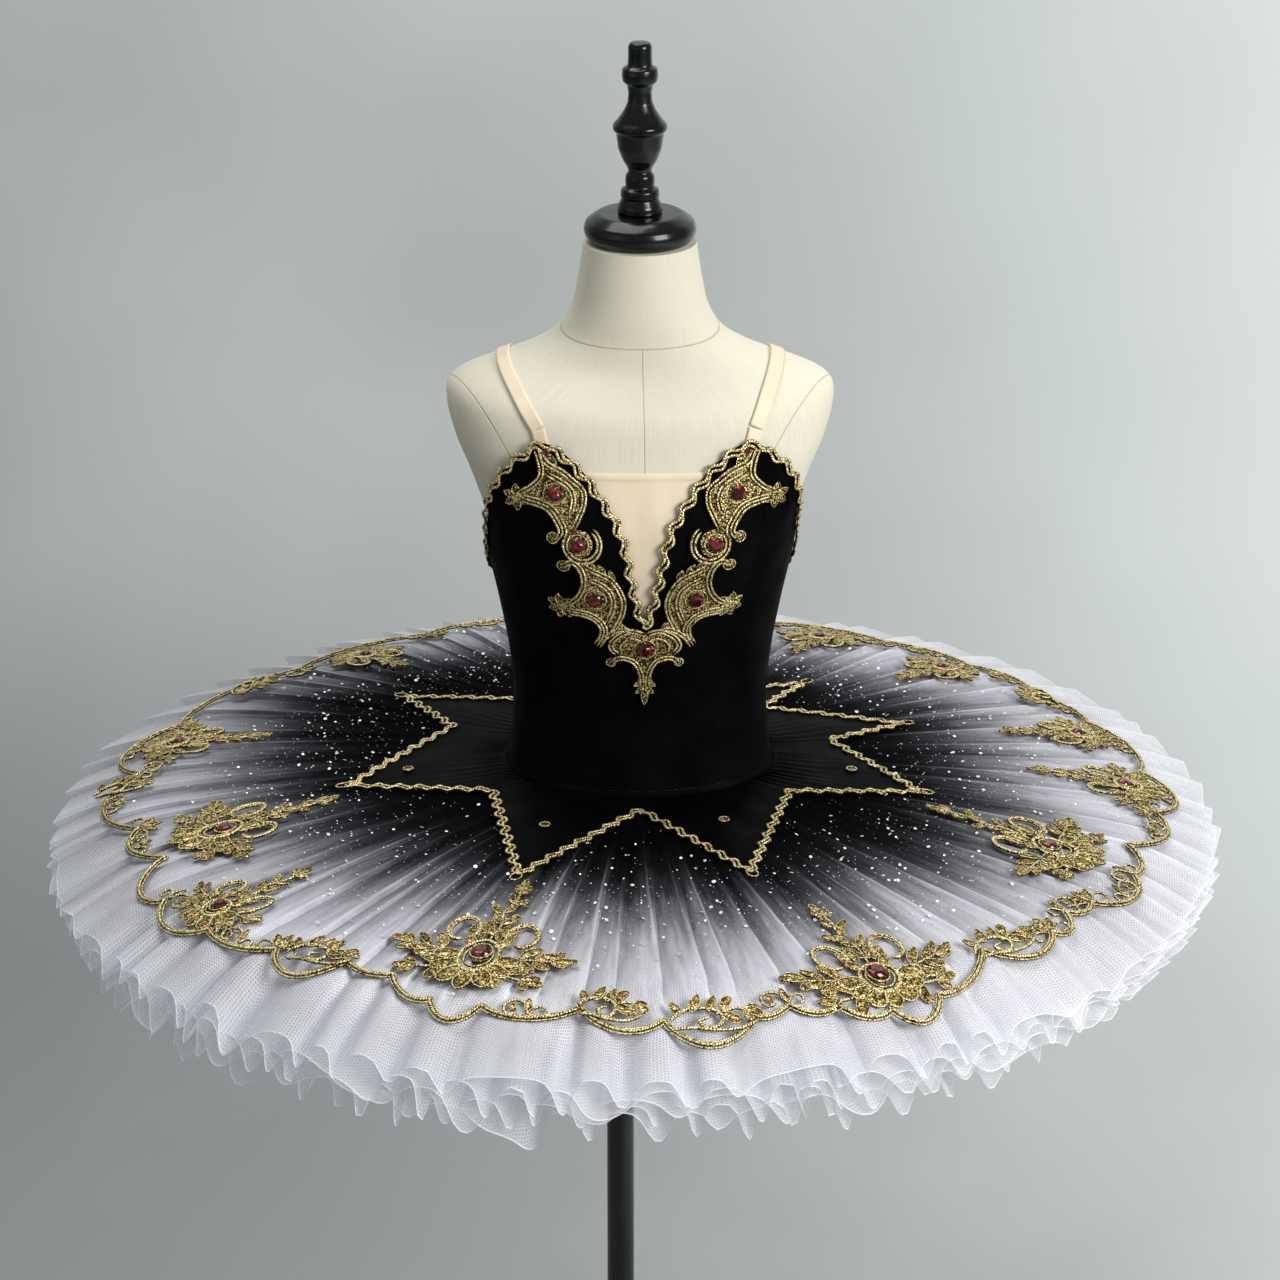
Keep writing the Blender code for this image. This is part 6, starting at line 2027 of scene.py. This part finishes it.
def motif_patches(place, motif):
    """One motif. Its parts move out with its size, but cords keep their thickness."""
    x, y, z = motif.width / MOTIF_HALF, motif.inward / MOTIF_IN, motif.outward / MOTIF_OUT
    core = core_size(motif)
    tall = core * (0.45 + 0.55 * z)
    middle = (29 * core, 36 * y * (0.5 + 0.5 * core))
    ring = circle(16.5 * core, 34, 24 * tall)
    patches = cord_on(place, ring, 4.2, 3.2, 2.4, closed=True, sides=8)
    patches += cord_on(place, ring * 0.72, 2.2, 2.4, 2.4, closed=True)
    setting = circle(9.6 * core, 34, 11.5 * core) + [0.0, 6 * tall]
    patches += pad_on(place, setting[::4], rise=1.2)
    patches += cord_on(place, setting, 2.0, 2.2, 3.2, closed=True)
    for side in (1, -1):
        patches += c_scroll(place, middle, 15 * core, 20 * core, side, 4.2 * (0.6 + 0.4 * core))
        patches += petal_on(place, *sided(side, (15 * core, 22 * y), (22 * core, 43 * y)),
                            7.5 * core, 3.0, 2.0)
        patches += petal_on(place, *sided(side, (9 * core, 24 * y), (12 * core, 50 * y)),
                            8.0 * core, 3.2, 2.2, 0.1 * side)
        wing = sided(side, (15 * core, -2), (0.46 * motif.width, 1), (0.78 * motif.width, 0))
        patches += spray(place, wing, 3 if x > 0.7 else 2, 24 * core, 10.5 * core, 40, 0.38)
        low = sided(side, (14 * core, -12 * tall), (0.36 * motif.width, -25 * tall),
                    (0.55 * motif.width, -31 * tall))
        patches += spray(place, low, 2, 21 * core, 10.0 * core, 44, 0.45)
    stem = [(0, 24 * tall), (3, 50 * y), (-2, 72 * y), (2, 92 * y), (0, 112 * y)]
    patches += spray(place, stem, 5 if y > 0.8 else 4, 23 * (0.5 + 0.5 * core),
                     9.8 * (0.5 + 0.5 * core), 36, 0.12)
    for k, angle in enumerate((-172, -146, -119, -91, -62, -35, -9)):
        tip = toward(angle, 38 * core, (16 + 33 * z) * (0.75 + 0.25 * core))
        patches += petal_on(place, toward(angle, 15 * core, 21 * tall), tip,
                            (16.0 - (k % 2) * 2.0) * core, 3.8, 1.9, blunt=True)
    for angle in (50, 130):
        tip = toward(angle, 30 * core, 32 * core)
        patches += petal_on(place, toward(angle, 15 * core, 20 * tall), tip, 10.5 * core, 3.2, 2.1,
                            blunt=True)
    return patches


def motif_place(motif):
    """The net under a motif: its stem leans and its wings follow the curve of the border."""
    ground = net_ground(motif.azimuth, motif.radius, BORDER_CLEAR)

    def place(drawn, lift):
        across = drawn[:, 0] + motif.lean * np.maximum(drawn[:, 1], 0)
        up = drawn[:, 1] + motif.lift * (np.abs(drawn[:, 0]) / motif.width) ** 2
        return ground(np.stack((across, up), -1), lift)
    return place


# %% Where the motifs and scrolls sit
MOTIFS = table("azimuth radius width inward outward lean lift",
               (-170, 0.418, 46, 70, 24, 0.0, 6), (-140.5, 0.418, 40, 60, 22, 0.0, 6),
               (-103.6, 0.440, 46, 84, 24, -0.2, 8), (-72, 0.386, 66, 108, 48, -0.2, 4),
               (-53.5, 0.446, 48, 92, 22, 0.05, 12), (-19.3, 0.401, 84, 127, 50, -0.05, 6),
               (26, 0.448, 84, 118, 26, 0.0, 20), (66.5, 0.392, 68, 123, 48, 0.2, 4),
               (90.3, 0.439, 46, 86, 22, 0.2, 8), (106.5, 0.425, 40, 74, 20, 0.12, 6),
               (134.5, 0.408, 40, 62, 20, 0.0, 6), (154.5, 0.410, 42, 64, 22, 0.0, 6))
FILLERS = table("name azimuth radius length turn",
                ("border_scroll_1", -124, 0.446, 56, 8), ("border_scroll_2", -91, 0.466, 50, 80),
                ("border_scroll_3", -36, 0.447, 62, 14), ("border_leaf_front", -3, 0.459, 56, -6),
                ("border_scroll_4", 7.4, 0.470, 76, 0), ("border_scroll_5", 42, 0.452, 68, -4),
                ("border_scroll_6", 120, 0.434, 52, -8))

# %% Leaves and loops on the cord
CUSP_CLEAR = 14.0              # millimetres kept free round a motif
CUSP_REACH = 0.72              # a motif's half width that counts as its own
WIDE_SCALLOP = 9               # degrees above which a scallop has a loop at its crown too


def is_free(azimuth, radius):
    """True where no motif or scroll lies over the cord."""
    def across(item):
        return abs(math.radians(azimuth - item.azimuth)) * 1000 * radius
    for motif in MOTIFS:
        reach = (radius - motif.radius) * 1000
        if across(motif) < motif.width * CUSP_REACH + CUSP_CLEAR and reach < motif.outward + CUSP_CLEAR:
            return False
    return all(across(filler) > filler.length * 0.6 for filler in FILLERS)


def leaf_fan(place):
    """Three leaves that point in from the cord, over two small curls."""
    patches = petal_on(place, (0, 1), (0, 19), 8.5, 3.0, 1.8)
    for side in (1, -1):
        patches += petal_on(place, *sided(side, (3, 1), (13, 13)), 8.0, 3.0, 1.7, 0.10 * side)
        curl = flowing(sided(side, (4, 0), (12, 4), (20, 2), (20, -5), (14, -5)))
        patches += cord_on(place, curl, 2.6, 2.2, 1.5, ends=0.1)
    return patches


def loop_pair(place, side):
    """A wide loop beside a narrow one, and a leaf between them."""
    wide = flowing(sided(side, (0, 0), (5, 12), (15, 15), (22, 8), (18, 0), (10, 2)))
    narrow = flowing(sided(side, (0, 0), (-5, 9), (-12, 9), (-13, 2), (-8, 0)))
    return (cord_on(place, wide, 3.2, 2.6, 1.7, ends=0.06, sides=7)
            + cord_on(place, narrow, 2.8, 2.4, 1.6, ends=0.08)
            + petal_on(place, *sided(side, (1, 3), (3, 18)), 7.0, 2.8, 1.7)
            + petal_on(place, *sided(side, (12, 4), (17, 11)), 6.0, 2.4, 1.5))


free = [scallop for scallop in SCALLOPS if is_free(scallop.azimuth, scallop.cusp)]
for i, scallop in enumerate(free):
    place = net_ground(scallop.azimuth, scallop.cusp, BORDER_CLEAR)
    border_patches += leaf_fan(place) if i % 2 else loop_pair(place, 1 if i % 4 else -1)
for start, end in zip(SCALLOPS, SCALLOPS[1:]):
    middle = (start.azimuth + end.azimuth) / 2
    if end.azimuth - start.azimuth > WIDE_SCALLOP and is_free(middle, start.crown):
        place = net_ground(middle, start.crown - 0.002, BORDER_CLEAR)
        border_patches += loop_pair(place, -1 if start.azimuth < 0 else 1)
border = new_piece("border_cord_gold", border_patches, LEAF_GOLD)
seat(border, "gold_thread", "border_cord")

# %% Sew on the motifs
MOTIF_STONE_RADIUS = 0.0088
MOTIF_STONE_HEIGHT = 0.0044
border_stones = []
for i, motif in enumerate(MOTIFS):
    name = "border_motif_%02d" % (i + 1)
    place = motif_place(motif)
    piece = new_piece(name + "_gold", motif_patches(place, motif), LEAF_GOLD)
    seat(piece, "gold_thread", name)
    core = core_size(motif)
    spot, normal = place(np.array([[0.0, 6.0 * core]]), np.full(1, STONE_LIFT))
    border_stones += stone_patch(spot[0], normal[0], MOTIF_STONE_RADIUS * core, MOTIF_STONE_HEIGHT)
stones = new_piece("border_stones_cut", border_stones, garnet, rounded=False)
seat(stones, "garnet_glass")
print("motifs:", len(MOTIFS), "scallops:", len(SCALLOPS))

# %% Small scrolls between them
def leaf_on(place, foot, tip, width):
    return petal_on(place, foot, tip, width, 3.0, 1.9)


def filler_patches(place, length):
    """A curled cord, a second one under it, and leaves towards one end."""
    half = length / 2
    scroll = [(-half, -4), (-half * 0.75, 6), (-half * 0.30, 10), (half * 0.12, 4), (half * 0.10, -6),
              (-half * 0.2, -9), (-half * 0.34, -2), (-half * 0.1, 1)]
    under = [(half * 0.95, -4), (half * 0.55, -10), (half * 0.05, -11), (-half * 0.5, -8),
             (-half * 0.9, -9)]
    return (cord_on(place, flowing(scroll), 4.0, 3.0, 2.0, ends=0.08, sides=8)
            + cord_on(place, flowing(under), 3.2, 2.6, 1.8, ends=0.08, sides=7)
            + spray(place, [(0, 3), (half * 0.45, 8), (half * 0.72, 5)], 2, 17, 9.0, 38, 0.25)
            + leaf_on(place, (-half * 0.5, 6), (-half * 0.30, 24), 9.0)
            + leaf_on(place, (-half * 0.15, 6), (half * 0.06, 22), 8.0)
            + leaf_on(place, (-half * 0.75, 3), (-half * 0.95, 16), 8.0))


FILLER_LIFT = BORDER_CLEAR + TRIM + SEAM_GAP
for filler in FILLERS:
    place = net_ground(filler.azimuth, filler.radius, FILLER_LIFT, filler.turn)
    piece = new_piece(filler.name + "_gold", filler_patches(place, filler.length), LEAF_GOLD)
    seat(piece, "gold_thread", filler.name)

# %% [markdown]
# ## Glitter
# Tiny mirror discs are glued over the dark part of the net: most where black turns to smoke, fewer
# outwards. A field of points on the top net with a density that depends on the radius does this,
# and each point carries a six-sided disc of its own size and tilt.

# %% Silver glitter
silver, tree, shader = new_material("silver_glitter")
tint = noise(tree, coordinates(tree), 120.0, 1.0)
connect(tree, shader, {
    "Base Color": ramp(tree, tint, [(0.35, (0.70, 0.74, 0.82)), (0.65, (0.98, 0.97, 0.94))]),
    "Roughness": spread(tree, tint, 0.3, 0.7, 0.18, 0.35),
    "Metallic": 0.15})

# %% Geometry Nodes: glitter
def build_glitter():
    tree, given = new_growth("glitter", ("Density", "Smallest", "Largest"),
                             {"Seed": "Int", "Foil": "Material"})
    wanted = times(tree, field(tree, "thickly"), given["Density"])
    points = add_node(tree, "GeometryNodeDistributePointsOnFaces", {
        "Mesh": given["Geometry"], "Density": wanted, "Seed": given["Seed"]})
    disc = add_node(tree, "GeometryNodeMeshCircle", {"Vertices": 6, "Radius": 1.0},
                    fill_type="TRIANGLE_FAN")
    size = add_node(tree, "FunctionNodeRandomValue", {"Seed": given["Seed"]}, data_type="FLOAT")
    grade = calc(tree, "POWER", size.outputs[1], 4.6)
    scale = times_plus(tree, grade, minus(tree, given["Largest"], given["Smallest"]), given["Smallest"])
    tilt = add_node(tree, "FunctionNodeRandomValue", ((-0.5, -0.5, 0.0), (0.5, 0.5, 3.1)),
                    data_type="FLOAT_VECTOR")
    placed = add_node(tree, "GeometryNodeInstanceOnPoints", {
        "Points": points.outputs["Points"], "Instance": disc.outputs["Mesh"],
        "Rotation": tilt.outputs[0], "Scale": scale})
    return finish_growth(tree, placed.outputs[0], given["Foil"])


glitter_tree = build_glitter()
GLITTER_FROM = 0.150
GLITTER_TO = 0.490
GLITTER_LIFT = 0.0014
GLITTER_DENSITY = 17000.0      # discs to the square metre where they are thickest
DISC_SMALLEST = 0.00036
DISC_LARGEST = 0.0020
GLITTER_ROWS = table("radius thickly",
                     (0.150, 0.15), (0.220, 0.55), (0.270, 1.0), (0.320, 1.0), (0.370, 0.65),
                     (0.420, 0.30), (0.460, 0.08), (0.490, 0.0))
radius = np.linspace(GLITTER_FROM, GLITTER_TO, 40)[:, None]
azimuth = np.arange(0, 360, 2.0)
turn = np.radians(azimuth)
drift = 0.75 + 0.45 * np.sin(turn * 7 + radius * 40) * np.sin(turn * 17 - radius * 25)
thickly = read_table(GLITTER_ROWS, "radius", "thickly", radius) * drift
points = plate_point(azimuth, radius, GLITTER_LIFT)
sheet = grid_patch(points[:, ::-1], np.arange(181) / 180, radius, closed=True)
glitter = new_piece("net_glitter", [sheet], silver)
mesh_field(glitter.data, "thickly", thickly[:, ::-1])
grown(glitter, glitter_tree, {
    "Density": GLITTER_DENSITY, "Smallest": DISC_SMALLEST, "Largest": DISC_LARGEST, "Seed": 5,
    "Foil": silver})
glitter.data.shade_flat()
print("discs:", len(glitter.data.polygons) // 6)
seat(glitter, "white_net")

# %% [markdown]
# ## Hand stitches
# The neck of the form is sewn on with a running stitch, the insert's turned edge is caught down by
# another, and a double bar holds each strap to its tab. A stitch is a short rounded peg. One node
# tree lays a peg on every point of a line and turns it the way the line runs.

# %% Geometry Nodes: stitches
def build_stitching():
    tree, given = new_growth("stitching", ("Length", "Width"), {"Thread": "Material"})
    peg = add_node(tree, "GeometryNodeMeshUVSphere", {"Segments": 6, "Rings": 4, "Radius": 0.5})
    turned = add_node(tree, "FunctionNodeAlignRotationToVector",
                      {"Vector": field(tree, "way", "FLOAT_VECTOR")}, axis="X")
    size = add_node(tree, "ShaderNodeCombineXYZ", (given["Length"], given["Width"], given["Width"]))
    placed = add_node(tree, "GeometryNodeInstanceOnPoints", {
        "Points": given["Geometry"], "Instance": peg.outputs["Mesh"],
        "Rotation": turned.outputs[0], "Scale": size.outputs[0]})
    return finish_growth(tree, placed.outputs[0], given["Thread"])


stitching = build_stitching()


def stitched(name, lines, pitch, length, width, material, slot):
    """Stitches at even steps along some lines."""
    rows = [paced(line, pitch) for line in lines]
    points = np.concatenate(rows)
    ways = np.concatenate([heading(row) for row in rows])
    mesh = bpy.data.meshes.new(name)
    mesh.from_pydata([tuple(point) for point in points], [], [])
    piece = bpy.data.objects.new(name, mesh)
    bpy.context.scene.collection.objects.link(piece)
    mesh_field(mesh, "way", ways, "FLOAT_VECTOR")
    grown(piece, stitching, {"Length": length, "Width": width, "Thread": material})
    return seat(piece, slot)


# %% Rows of stitches
STITCH_SUNK = 0.0001
turns = np.arange(-180.0, 181.0, 2.0)
levels = np.full(len(turns), 1.345)
for _ in range(8):
    found = form_point(turns, levels, STITCH_SUNK)
    levels = (NECK_SEAM.offset - NECK_SEAM.y * found[:, 1]) / NECK_SEAM.z
neck_line = form_point(turns, levels, STITCH_SUNK)
stitched("neck_stitches", [neck_line], 0.0046, 0.0028, 0.0006, linen, "cream_linen")
caught = np.linspace(-insert_half[-12] * 0.92, insert_half[-12] * 0.92, 60)
hem_line = worn_point(caught, INSERT_TOP - ROLL_DEPTH * 1.15 + 0 * caught, INSERT_OUT + THIN_CLOTH)
stitched("beige_stitches", [hem_line], 0.0034, 0.0020, 0.0004, beige, "beige_satin")
stitched("strap_bars", strap_bars, 0.0016, 0.0012, 0.0005, beige, "beige_satin")

# %% [markdown]
# ## Last update
# The visual model has to stay in the imported model's box, give or take what cloth may stand proud.

# %% Finish
bpy.context.view_layer.update()
